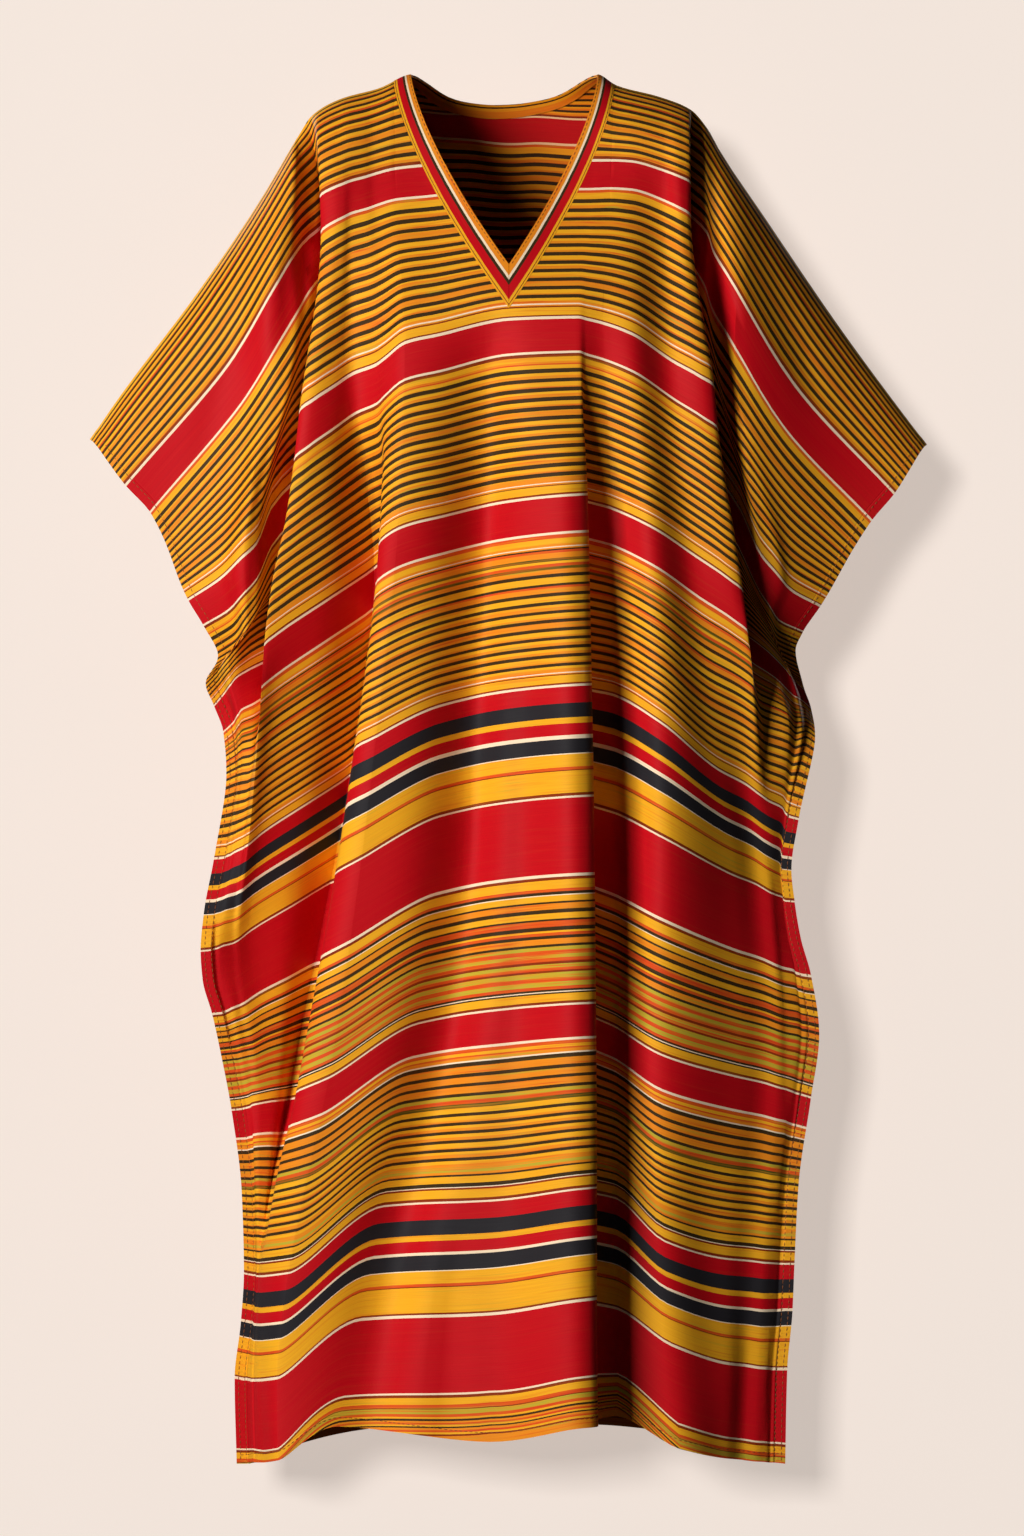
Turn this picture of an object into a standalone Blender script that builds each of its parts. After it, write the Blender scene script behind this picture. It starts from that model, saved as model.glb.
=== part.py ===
"""A wide striped kaftan, hollow, in the shape that it keeps when it is worn.

Metres, +Z up. The front faces -Y, and +X is on the right of someone who looks at the front.
The origin is the middle of the line between the two points where the neck meets the shoulders.
Run it with blender --background --python part.py, or from the text editor.

Each panel is one sheet. Its rows are the cloth's own stripes, counted by their flat distance
below the shoulder line, and its columns are the folds that run from the shoulder to the hem.
The tables give both in millimetres as they are seen from the front, VIEW_DISTANCE away, and
seen_to_real brings each point to its own depth.
"""

import bmesh
import bpy
import numpy as np

# Driving sizes, in millimetres.
CLOTH = 1.5
SEAM_GAP = 0.3
BAND_GAP = 0.9
HEM_FLAT = 1321.0
VIEW_DISTANCE = 5000.0
VIEW_HEIGHT = -669.0

# The neck, in millimetres. The two curves of the V have one law: half width against depth.
NECK_MIDDLE_TOP = -7.5
NECK_MIDDLE_TIP = -3.0
NECK_TOP = 3.0
V_INNER_HALF_WIDTH = 90.5
V_INNER_DEPTH = 184.0
V_OUTER_TOP = -6.0
V_OUTER_HALF_WIDTH = 107.5
V_OUTER_DEPTH = 218.0
V_BOW = 1.42
NECK_EDGE_SLACK = 0.5
NECK_SEARCH_DEPTH = 300.0
NECK_SEARCH_MARGIN = 60.0
BACK_NECK_DROP = 64.0
BACK_NECK_ROUND = 2.4
FACING_ROWS = 3

# The shoulder line and the arm line: across, height.
SHOULDER_LINE = (
    (-409, -351),
    (-380, -309),
    (-303, -206),
    (-244, -119),
    (-206, -55),
    (-194, -37),
    (-167, -21),
    (-128, -10),
    (-98, 3),
    (-7, 8),
    (83, 3),
    (100, -7),
    (144, -19),
    (173, -31),
    (189, -49),
    (202, -72),
    (241, -130),
    (318, -243),
    (376, -322),
    (402, -356),
)
SHOULDER_DEPTH = 5.0
SHOULDER_FLAT_HALF = 200.0

# The cloth rolls over the shoulder line: share of the way to the first stripe, and the shares of
# its run across, its drop and its depth that are done by there.
SHOULDER_ROLL = (
    (0.10, 0.06, 0.03, 0.18),
    (0.28, 0.20, 0.15, 0.46),
    (0.60, 0.52, 0.50, 0.84),
)

# Columns of the next three tables, after the flat distance of the stripe.
FOLDS = (
    "cuff_l",
    "seam_l",
    "tuck_l",
    "ridge_l",
    "trough_l",
    "step_l",
    "crest_l",
    "dip_l",
    "middle",
    "edge_c",
    "dip_c",
    "crest_r",
    "dip_r",
    "ridge_r",
    "tuck_r",
    "seam_r",
    "cuff_r",
)
ACROSS = (
    (0, -409, -303, -212, -190, -162, -136, -115, -98, -7, 83, 100, 116, 146, 172, 187, 299, 402),
    (80, -375, -269, -203, -186, -157, -133, -114, -86, -3, 76, 97, 116, 148, 173, 195, 272, 371),
    (232, -314, -281, -248, -206, -155, -122, -104, -70, -3, 64, 89, 116, 155, 196, 242, 270, 299),
    (404, -289, -279, -268, -240, -162, -129, -111, -65, -2, 73, 97, 134, 178, 224, 267, 274, 284),
    (589, -289, -279, -272, -235, -177, -153, -132, -70, 3, 77, 100, 144, 200, 253, 265, 268, 278),
    (697, -302, -292, -285, -248, -191, -171, -146, -70, 3, 79, 105, 147, 214, 261, 263, 264, 274),
    (901, -272, -262, -258, -243, -226, -209, -178, -91, -2, 81, 107, 146, 219, 258, 276, 280, 290),
    (1086, -260, -250, -249, -247, -245, -242, -217, -124, -12,
     82, 107, 148, 207, 245, 260, 264, 274),
    (1199, -269, -259, -257, -252, -249, -244, -228, -146, -21,
     82, 109, 155, 210, 240, 253, 257, 267),
    (1321, -267, -257, -255, -250, -247, -240, -227, -169, -21,
     83, 106, 163, 207, 236, 250, 255, 265),
)
HEIGHT = (
    (80, -395, -269, -160, -115, -100, -93, -88, -85, -80,
     -80, -80, -81, -90, -102, -167, -295, -403),
    (232, -506, -484, -451, -324, -287, -271, -257, -249, -234,
     -232, -238, -248, -274, -300, -463, -496, -512),
    (404, -609, -597, -582, -540, -479, -453, -438, -425, -411,
     -404, -418, -435, -464, -499, -576, -585, -594),
    (589, -757, -756, -753, -732, -678, -652, -639, -609, -594,
     -588, -599, -625, -671, -703, -713, -716, -719),
    (697, -846, -845, -843, -827, -791, -771, -756, -715, -701,
     -695, -714, -736, -772, -794, -796, -797, -798),
    (901, -1001, -1000, -999, -995, -991, -984, -970, -917, -903,
     -897, -922, -948, -969, -979, -985, -986, -989),
    (1086, -1158, -1160, -1160, -1161, -1161, -1161, -1158, -1093, -1087,
     -1075, -1086, -1127, -1144, -1148, -1149, -1149, -1149),
    (1199, -1260, -1262, -1262, -1263, -1263, -1263, -1261, -1204, -1199,
     -1184, -1194, -1229, -1247, -1251, -1252, -1252, -1252),
    (1321, -1344, -1344, -1344, -1343, -1343, -1343, -1341, -1308, -1323,
     -1308, -1298, -1330, -1339, -1342, -1343, -1343, -1344),
)
DEPTH = (
    (80, -24, -30, -34, -52, -48, -46, -45, -44, -50, -44, -45, -47, -49, -52, -34, -30, -24),
    (232, -24, -36, -44, -90, -98, -106, -112, -113, -112,
     -113, -111, -112, -105, -92, -44, -36, -24),
    (404, 0, 0, -16, -84, -90, -116, -128, -108, -122, -128, -94, -122, -98, -88, -16, 0, 0),
    (589, 8, 8, -4, -62, -74, -112, -130, -94, -120, -142, -80, -130, -88, -84, -2, 5, 5),
    (697, 5, 5, -6, -52, -62, -104, -127, -86, -119, -148, -74, -131, -80, -60, -6, 2, 2),
    (901, -5, -5, -14, -46, -58, -92, -118, -76, -120, -153, -68, -126, -72, -46, -14, -6, -6),
    (1086, 0, 0, -8, -26, -38, -58, -96, -66, -118, -157, -62, -120, -66, -50, -9, 0, 0),
    (1199, 4, 4, -6, -26, -36, -52, -86, -60, -117, -158, -60, -118, -62, -48, -8, 3, 3),
    (1321, 6, 6, -4, -26, -34, -50, -84, -56, -116, -158, -58, -116, -60, -46, -6, 4, 4),
)

# How far each fold's edge hangs over the cloth behind it, and below zero where it is open:
# flat distance, sleeve left, body left, step, centre, body right, sleeve right.
OVERHANG = (
    (0, -4, -9, -8, -6, -4, -3),
    (80, -6, 5, -10, -8, 5, -6),
    (232, 6, 10, -10, -8, 10, 6),
    (404, -6, 7, 9, 7, 9, -6),
    (589, -7, -17, 10, 9, 5, -3),
    (697, -7, -18, 9, 10, -1, -0.5),
    (901, -4, -6, 8, 10, -8, -4),
    (1086, -0.5, -1, -2, 10, -7, -3),
    (1199, -1, -2, -3, 9, -7, -3),
    (1321, -1, -2, -3, 8, -7, -3),
)

# Depth of the valley between sleeve and body, on its sleeve side and its body side:
# flat distance, left sleeve, left body, right body, right sleeve.
VALLEY = (
    (0, 0, 0, 0, 0),
    (80, -27, -29, -29, -27),
    (232, -14, -17, -17, -14),
    (404, -14, -26, -24, -13),
    (589, -12, -32, -20, -9),
    (697, -14, -30, -34, -17),
    (901, -22, -34, -34, -22),
    (1086, -13, -19, -32, -18),
    (1199, -12, -19, -30, -17),
    (1321, -10, -18, -28, -15),
)

# More points of the cuff edges and side seams: flat distance, left across and height, right
# across and height.
EDGES = (
    (105, -351, -421, 349, -429),
    (266, -299, -531, 282, -537),
    (305, -285, -560, 275, -555),
    (355, -297, -587, 280, -580),
    (439, -280, -634, 290, -611),
    (510, -277, -676, 294, -640),
    (655, -299, -811, 271, -768),
    (735, -300, -875, 280, -834),
    (773, -291, -907, 290, -870),
    (835, -282, -948, 298, -928),
    (1000, -262, -1083, 278, -1073),
    (1140, -263, -1207, 272, -1197),
)
EDGE_SHARES = (("cuff", 1.0), ("seam", 1.0), ("tuck", 0.7), ("ridge", 0.15))

# Folds of the back: across at the first stripe and at the hem, depth at the first stripe, at the
# underarm and at the hem.
BACK_FOLDS = (
    ("back_dip_1", -152, -202, 60, 88, 56),
    ("back_crest_1", -116, -158, 66, 112, 118),
    ("back_dip_2", -74, -112, 68, 103, 84),
    ("back_crest_2", -30, -46, 70, 114, 140),
    ("back_dip_3", 16, 12, 70, 104, 64),
    ("back_crest_3", 66, 80, 69, 112, 124),
    ("back_dip_4", 108, 142, 66, 98, 74),
    ("back_crest_4", 146, 186, 60, 101, 112),
)
BACK_LIFT = 45.0
BACK_LIFT_LEFT_AT_HEM = 0.35
BACK_DROOP = 1.8

# Rounding of fold edges: how far in from an edge its crest lies, and how far it stands out.
CREST_INSET = 13.0
CREST_RISE = 6.0
CREST_MOST_SHARE = 0.45
CREST_FULL_AT_HANG = 6.0

# The hidden folds: how far each lies, in height or in depth, from the fold it is named after
# towards the next one.
LIP_SHARE = 0.4
VALE_IN_SHARE = 0.27
VALE_OUT_SHARE = 0.64
BROW_SHARE = 0.25
BROW_DEPTH_SHARE = 0.3
STEP_UNDER_SHARE = 0.45
CENTRE_CREST_SHARE = 0.16
CENTRE_UNDER_SHARE = 0.3
CENTRE_UNDER_DEPTH_SHARE = 0.42

# Rows of each solid by flat distance, and the number of columns that each gap between folds gets.
ROWS = (
    0, 8, 17, 34, 56, 80, 116, 170, 232, 268, 303, 340, 404, 440,
    510, 589, 655, 697, 773, 835, 901, 990, 1086, 1199, 1260, 1321,
)
COLUMN_STEP = 34.0
NECK_CORNER_COLUMNS = 5
NECK_CORNER_EASE = 1.6
BAND_COLUMNS = 3
SHARP_EDGE_DEGREES = 60

# Colours of the pieces, as linear red, green and blue, and the roughness of the cloth.
PANEL_COLOUR = (0.80, 0.36, 0.03, 1.0)
BAND_COLOUR = (0.55, 0.02, 0.03, 1.0)
FACING_COLOUR = (0.80, 0.33, 0.04, 1.0)
CLOTH_ROUGHNESS = 0.75


def slopes(knots, values):
    """Slopes that let a cubic run through the values without overshooting them."""
    step = np.diff(knots).reshape((-1,) + (1,) * (values.ndim - 1))
    rise = np.diff(values, axis=0) / step
    before, after = rise[:-1], rise[1:]
    turning = before * after <= 0
    safe_before = np.where(turning, 1.0, before)
    safe_after = np.where(turning, 1.0, after)
    weight_before = 2 * step[1:] + step[:-1]
    weight_after = step[1:] + 2 * step[:-1]
    mean = (weight_before + weight_after) / (weight_before / safe_before + weight_after / safe_after)
    inner = np.where(turning, 0.0, mean)
    return np.concatenate([rise[:1], inner, rise[-1:]])


def hermite(knots, low, share, v0, v1, m0, m1):
    """The cubic between two knots, with values v and slopes m at its ends."""
    width = np.diff(knots)[low]
    extra = (1,) * (v0.ndim - share.ndim)
    u = share.reshape(share.shape + extra)
    width = width.reshape(width.shape + extra)
    return (
        v0 * (1 + 2 * u) * (1 - u) ** 2
        + m0 * width * u * (1 - u) ** 2
        + v1 * u * u * (3 - 2 * u)
        + m1 * width * u * u * (u - 1)
    )


def place_between(knots, at):
    low = np.clip(np.searchsorted(knots, at, side="right") - 1, 0, len(knots) - 2)
    share = (at - knots[low]) / (knots[low + 1] - knots[low])
    return low, share


def smooth(knots, values, at):
    """Values given at the knots, read at other places: (K, ...) and (N,) give (N, ...)."""
    knots = np.asarray(knots, float)
    values = np.asarray(values, float)
    at = np.asarray(at, float)
    low, share = place_between(knots, at)
    slope = slopes(knots, values)
    return hermite(knots, low, share, values[low], values[low + 1], slope[low], slope[low + 1])


def smooth_each(knots, values, at):
    """As smooth, where each place has values of its own: (K, N, ...) and (N,) give (N, ...)."""
    low, share = place_between(knots, at)
    own = np.arange(len(at))
    slope = slopes(knots, values)
    ends = values[low, own], values[low + 1, own]
    return hermite(knots, low, share, *ends, slope[low, own], slope[low + 1, own])


def split(rows):
    """The first column of a table, and the rest of it."""
    table = np.array(rows, float)
    return table[:, 0], table[:, 1:]


def shoulder_height(across):
    knots, height = split(SHOULDER_LINE)
    return smooth(knots, height[:, 0], across)


def shoulder_depth(across):
    return SHOULDER_DEPTH * (1 - np.clip(np.abs(across) / SHOULDER_FLAT_HALF, 0, 1))


def first_row(across):
    return np.stack([across, shoulder_depth(across), shoulder_height(across)], axis=-1)


def with_shoulder_roll(flat, points):
    """Adds the rows that carry the cloth round over the shoulder line. points is (rows, columns, 3)."""
    start, end = points[0], points[1]
    rows = [start]
    places = [flat[0]]
    for share, across, drop, depth in SHOULDER_ROLL:
        rows.append(start + (end - start) * np.array([across, depth, drop]))
        places.append(flat[0] + (flat[1] - flat[0]) * share)
    return np.concatenate([places, flat[1:]]), np.concatenate([np.array(rows), points[1:]])


def main_rows():
    """The folds of the front at each stripe of the tables: (rows, folds, 3) as across, depth, height."""
    flat, across = split(ACROSS)
    height = split(HEIGHT)[1]
    depth = split(DEPTH)[1]
    points = np.empty(across.shape + (3,))
    points[0] = first_row(across[0])
    points[1:, :, 0] = across[1:]
    points[1:, :, 1] = depth
    points[1:, :, 2] = height
    return with_shoulder_roll(flat, points)


def with_edge_points(flat, points):
    """Adds the rows of EDGES, which move the outer folds and leave the others as they were."""
    edge_flat, edge = split(EDGES)
    added = smooth(flat, points, edge_flat)
    for side, cuff in (("l", 0), ("r", -1)):
        target = edge[:, :2] if side == "l" else edge[:, 2:]
        shift = target - added[:, cuff][:, [0, 2]]
        for name, share in EDGE_SHARES:
            fold = FOLDS.index(f"{name}_{side}")
            added[:, fold, 0] += share * shift[:, 0]
            added[:, fold, 2] += share * shift[:, 1]
    order = np.argsort(np.concatenate([flat, edge_flat]))
    return np.concatenate([flat, edge_flat])[order], np.concatenate([points, added])[order]


def between(first, second, share):
    return first + (second - first) * share


class Folds:
    """The folds of the front by name, with those that the cloth hides behind the others."""

    def __init__(self):
        self.flat, points = with_edge_points(*main_rows())
        self.named = {name: points[:, i] for i, name in enumerate(FOLDS)}
        flat, hang = split(OVERHANG)
        self.hang = smooth(flat, hang, self.flat)
        flat, valley = split(VALLEY)
        self.valley = smooth(flat, valley, self.flat)
        self.add_valleys()
        self.add_step()
        self.add_centre()

    def add(self, name, beside, other, share, across=None, depth=None):
        """A new fold line: its height lies between two others, its place is given or between too."""
        line = between(self.named[beside], self.named[other], share)
        if across is not None:
            line[:, 0] = across
        if depth is not None:
            line[:, 1] = depth
        self.named[name] = line

    def crest_inset(self, room):
        return np.minimum(CREST_INSET, CREST_MOST_SHARE * np.abs(room))

    def crest_rise(self, hang):
        return CREST_RISE * np.clip(self.hang[:, hang] / CREST_FULL_AT_HANG, 0, 1)

    def add_valleys(self):
        for side, out, tuck_hang, ridge_hang, inner, outer in (("l", 1, 0, 1, 0, 1), ("r", -1, 5, 4, 3, 2)):
            seam, tuck, ridge = f"seam_{side}", f"tuck_{side}", f"ridge_{side}"
            beside = "trough_l" if side == "l" else "dip_r"
            tuck_line, ridge_line = self.named[tuck], self.named[ridge]
            across = tuck_line[:, 0] - out * self.crest_inset(tuck_line[:, 0] - self.named[seam][:, 0])
            depth = tuck_line[:, 1] - self.crest_rise(tuck_hang)
            self.add(f"lip_{side}", tuck, seam, LIP_SHARE, across, depth)
            across = tuck_line[:, 0] - out * self.hang[:, tuck_hang]
            self.add(f"vale_in_{side}", tuck, ridge, VALE_IN_SHARE, across, self.valley[:, inner])
            across = ridge_line[:, 0] + out * self.hang[:, ridge_hang]
            self.add(f"vale_out_{side}", tuck, ridge, VALE_OUT_SHARE, across, self.valley[:, outer])
            across = ridge_line[:, 0] + out * self.crest_inset(self.named[beside][:, 0] - ridge_line[:, 0])
            depth = between(ridge_line[:, 1], self.named[beside][:, 1], BROW_DEPTH_SHARE)
            self.add(f"brow_{side}", ridge, beside, BROW_SHARE, across, depth - self.crest_rise(ridge_hang))

    def add_step(self):
        across = self.named["step_l"][:, 0] + self.hang[:, 2]
        self.add("under_l", "step_l", "trough_l", STEP_UNDER_SHARE, across)

    def add_centre(self):
        edge = self.named["edge_c"]
        depth = edge[:, 1] - self.crest_rise(3)
        self.add("crest_c", "edge_c", "middle", CENTRE_CREST_SHARE, edge[:, 0] - CREST_INSET, depth)
        depth = between(edge[:, 1], self.named["dip_c"][:, 1], CENTRE_UNDER_DEPTH_SHARE)
        self.add("under_c", "edge_c", "dip_c", CENTRE_UNDER_SHARE, edge[:, 0] - self.hang[:, 3], depth)


OUTER_LEFT = ("cuff_l", "seam_l", "lip_l", "tuck_l", "vale_in_l", "vale_out_l", "ridge_l", "brow_l")
OUTER_RIGHT = ("brow_r", "ridge_r", "vale_out_r", "vale_in_r", "tuck_r", "lip_r", "seam_r", "cuff_r")
FRONT_INNER = (
    "trough_l",
    "under_l",
    "step_l",
    "crest_l",
    "dip_l",
    "middle",
    "crest_c",
    "edge_c",
    "under_c",
    "dip_c",
    "crest_r",
    "dip_r",
)


class Sheet:
    """One panel: fold lines side by side, each known at every row."""

    def __init__(self, names, flat, lines, side):
        self.names = names
        self.flat = flat
        self.lines = np.stack(lines, axis=1)
        self.side = side
        chord = np.linalg.norm(np.diff(self.lines, axis=1), axis=2).mean(axis=0)
        self.knots = np.concatenate([[0.0], np.cumsum(chord)])
        self.width = self.knots[-1]

    def seen(self, across, flat):
        """Points as seen from the front, at places across (from one cuff edge) and flat distances."""
        lines = smooth(self.flat, self.lines, flat)
        points = smooth_each(self.knots, np.moveaxis(lines, 1, 0), across)
        top = smooth_each(self.knots, np.repeat(self.lines[0][:, None], len(across), axis=1), across)
        roll_end = split(ACROSS)[0][1]
        settle = np.clip(1 - flat / roll_end, 0, 1) ** 2
        points[:, 2] += settle * (shoulder_height(top[:, 0]) - top[:, 2])
        points[:, 1] += settle * (shoulder_depth(top[:, 0]) - top[:, 1])
        return points

    def points(self, across, flat):
        return seen_to_real(self.seen(across, flat))

    def neck_top(self, across):
        """The flat distance at which each column starts: zero on the shoulder, more at the neck."""
        low = np.zeros(len(across))
        high = np.full(len(across), NECK_SEARCH_DEPTH)
        for _ in range(40):
            middle = (low + high) / 2
            cut = self.inside_neck(across, middle)
            low = np.where(cut, middle, low)
            high = np.where(cut, high, middle)
        return np.where(high < 1e-3, 0.0, high)

    def inside_neck(self, across, flat):
        if self.side == "front":
            seen = self.seen(across, flat)
            share = np.clip((V_OUTER_TOP - seen[:, 2]) / V_OUTER_DEPTH, 0, 1)
            half = V_OUTER_HALF_WIDTH * (1 - share**V_BOW) - NECK_EDGE_SLACK
            return np.abs(seen[:, 0] - neck_middle(share)) < half
        top = self.seen(across, np.zeros(len(across)))
        away = np.abs(top[:, 0] - NECK_MIDDLE_TOP) / V_INNER_HALF_WIDTH
        return flat < BACK_NECK_DROP * (1 - np.clip(away, 0, 1) ** BACK_NECK_ROUND)


def neck_middle(share):
    return between(NECK_MIDDLE_TOP, NECK_MIDDLE_TIP, share)


def seen_to_real(points):
    """Moves points along the line of sight to their depth, and from millimetres to metres."""
    scale = (VIEW_DISTANCE + points[..., 1]) / VIEW_DISTANCE
    real = points.copy()
    real[..., 0] = points[..., 0] * scale
    real[..., 2] = VIEW_HEIGHT + (points[..., 2] - VIEW_HEIGHT) * scale
    return real / 1000


def front_sheet(folds):
    names = OUTER_LEFT + FRONT_INNER + OUTER_RIGHT
    lines = [folds.named[name] for name in names]
    return Sheet(names, folds.flat, lines, "front")


def back_outer(folds, name, middle_depth):
    line = folds.named[name].copy()
    line[:, 1] = 2 * middle_depth - line[:, 1]
    line[0] = folds.named[name][0]
    return line


def back_inner(folds, row, ridges):
    """One fold of the back: a straight run down the cloth, its depth eased through three sizes."""
    _, across_top, across_hem, depth_top, depth_arm, depth_hem = row
    first, underarm = ACROSS[1][0], ACROSS[3][0]
    flat = folds.flat
    run = np.clip((flat - first) / (HEM_FLAT - first), 0, 1)
    across = between(across_top, across_hem, run)
    depth = smooth([0, first, underarm, HEM_FLAT], [SHOULDER_DEPTH, depth_top, depth_arm, depth_hem], flat)
    lift = BACK_LIFT * between(1.0, BACK_LIFT_LEFT_AT_HEM, flat / HEM_FLAT)
    centre = -(flat - lift)
    ridge = ridges[0] if across_top < 0 else ridges[1]
    share = np.clip(np.abs(across / ridge[:, 0]), 0, 1) ** BACK_DROOP
    line = np.stack([across, depth, between(centre, ridge[:, 2], share)], axis=1)
    rolled = flat < first
    top = first_row(np.array([float(across_top)]))[0]
    end = line[np.argmin(np.abs(flat - first))]
    shares = np.array([(0.0, 0.0, 0.0)] + [(a, d, z) for _, a, z, d in SHOULDER_ROLL])
    line[rolled] = top + (end - top) * shares
    return line


def back_sheet(folds):
    first, underarm = ACROSS[1][0], ACROSS[3][0]
    sides = {}
    for side in ("l", "r"):
        seam = folds.named[f"seam_{side}"][:, 1]
        joined = np.clip((folds.flat - first) / (underarm - first), 0, 1)
        sides[side] = seam * np.where(folds.flat >= underarm, 1.0, 0.0) * joined
    ridges = (folds.named["ridge_l"], folds.named["ridge_r"])
    lines = [back_outer(folds, name, sides["l"]) for name in OUTER_LEFT]
    lines += [back_inner(folds, row, ridges) for row in BACK_FOLDS]
    lines += [back_outer(folds, name, sides["r"]) for name in OUTER_RIGHT]
    names = OUTER_LEFT + tuple(row[0] for row in BACK_FOLDS) + OUTER_RIGHT
    return Sheet(names, folds.flat, lines, "back")


def columns_of(sheet):
    """Places across: every fold line and both corners of the neck, with even steps between them.

    Beside a corner, inside the neck, the steps start short, because the neck's edge is steep there.
    """
    neck = neck_edges(sheet)
    apart = [knot for knot in sheet.knots if min(abs(knot - edge) for edge in neck) > 1.0]
    stops = sorted(apart + list(neck))
    places = []
    for start, end in zip(stops[:-1], stops[1:]):
        if start == neck[0] or end == neck[1]:
            eased = (np.arange(NECK_CORNER_COLUMNS) / NECK_CORNER_COLUMNS) ** NECK_CORNER_EASE
            shares = eased if start == neck[0] else np.append(0.0, (1 - eased[1:])[::-1])
        else:
            count = max(1, round((end - start) / COLUMN_STEP))
            shares = np.arange(count) / count
        places += list(start + (end - start) * shares)
    return np.array(places + [sheet.width])


def neck_edges(sheet):
    """The places across where the neck opening starts and ends on the shoulder line."""
    half = V_OUTER_HALF_WIDTH if sheet.side == "front" else V_INNER_HALF_WIDTH
    across = np.linspace(0, sheet.width, 4001)
    top = sheet.seen(across, np.zeros(len(across)))[:, 0]
    return tuple(np.interp(NECK_MIDDLE_TOP + toward * half, top, across) for toward in (-1, 1))


def panel_grid(sheet, across):
    """Points (rows, columns, 3) of a panel's middle surface, in metres."""
    start = sheet.neck_top(across)
    share = np.array(ROWS, float) / ROWS[-1]
    flat = start[None] + (HEM_FLAT - start)[None] * share[:, None]
    wide = np.broadcast_to(across, flat.shape)
    points = sheet.points(wide.ravel(), flat.ravel())
    return points.reshape(flat.shape + (3,)), flat


def grid_normals(points, outward):
    """Unit normals of a grid of points, on the side that outward faces."""
    down = np.gradient(points, axis=0)
    along = np.gradient(points, axis=1)
    normal = np.cross(along, down)
    if (normal @ np.array(outward, float)).sum() < 0:
        normal = -normal
    return normal / np.linalg.norm(normal, axis=2, keepdims=True)


def sheet_object(name, points, normals, outer, inner, material):
    """A closed wall between the two surfaces that lie outer and inner metres along the normals."""
    rows, columns = points.shape[:2]
    count = rows * columns
    vertices = np.concatenate(
        [(points + normals * outer).reshape(-1, 3), (points + normals * inner).reshape(-1, 3)]
    )
    index = np.arange(count).reshape(rows, columns)
    faces = []
    for i in range(rows - 1):
        for j in range(columns - 1):
            corners = (index[i, j], index[i, j + 1], index[i + 1, j + 1], index[i + 1, j])
            for pick in ((0, 1, 2), (0, 2, 3)):
                triangle = [corners[k] for k in pick]
                faces.append(triangle)
                faces.append([v + count for v in reversed(triangle)])
    rim = list(index[0]) + list(index[1:, -1]) + list(index[-1, -2::-1]) + list(index[-2:0:-1, 0])
    for first, second in zip(rim, rim[1:] + rim[:1]):
        faces.append((second, first, first + count, second + count))
    mesh = bpy.data.meshes.new(name)
    mesh.from_pydata(vertices.tolist(), [], [tuple(int(v) for v in face) for face in faces])
    shell = bmesh.new()
    shell.from_mesh(mesh)
    bmesh.ops.recalc_face_normals(shell, faces=shell.faces)
    shell.to_mesh(mesh)
    shell.free()
    mesh.shade_smooth()
    mesh.set_sharp_from_angle(angle=np.radians(SHARP_EDGE_DEGREES))
    mesh.materials.append(material)
    piece = bpy.data.objects.new(name, mesh)
    bpy.context.collection.objects.link(piece)
    return piece


def cloth_material(name, colour):
    material = bpy.data.materials.new(name)
    material.use_nodes = True
    shader = material.node_tree.nodes["Principled BSDF"]
    shader.inputs["Base Color"].default_value = colour
    shader.inputs["Roughness"].default_value = CLOTH_ROUGHNESS
    shader.inputs["Metallic"].default_value = 0.0
    return material


def settle_edges(sheet, across, points, normals, flat):
    """Parts the two panels by the seam gap: at the shoulder line, and along the side seams."""
    toward = -1.0 if sheet.side == "front" else 1.0
    on_shoulder = flat[0] < 1e-6
    points[0, on_shoulder, 1] += toward * SEAM_GAP / 2 / 1000
    normals[0, on_shoulder, 1] = 0
    normals[0] /= np.linalg.norm(normals[0], axis=1, keepdims=True)
    apart = (CLOTH + SEAM_GAP) / 2 / 1000
    underarm = ACROSS[3][0]
    cuff_end = EDGES[3][0]
    seams = sheet.knots[1] + 1e-6, sheet.knots[-2] - 1e-6
    for column in np.flatnonzero((across <= seams[0]) | (across >= seams[1])):
        joined = np.clip((flat[:, column] - cuff_end) / (underarm - cuff_end), 0, 1)
        points[:, column, 1] += toward * apart * joined
        for row in np.flatnonzero(joined > 0):
            normals[row, column] = (0, toward, 0)
    return points, normals


def panel_surface(sheet):
    """The panel's middle surface: places across, points, normals and flat distances."""
    across = columns_of(sheet)
    points, flat = panel_grid(sheet, across)
    toward = -1.0 if sheet.side == "front" else 1.0
    normals = grid_normals(points, (0, toward, 0))
    points, normals = settle_edges(sheet, across, points, normals, flat)
    return across, points, normals, flat


def panel(sheet, name, material):
    _, points, normals, _ = panel_surface(sheet)
    half = CLOTH / 2 / 1000
    return sheet_object(name, points, normals, half, -half, material)


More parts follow.
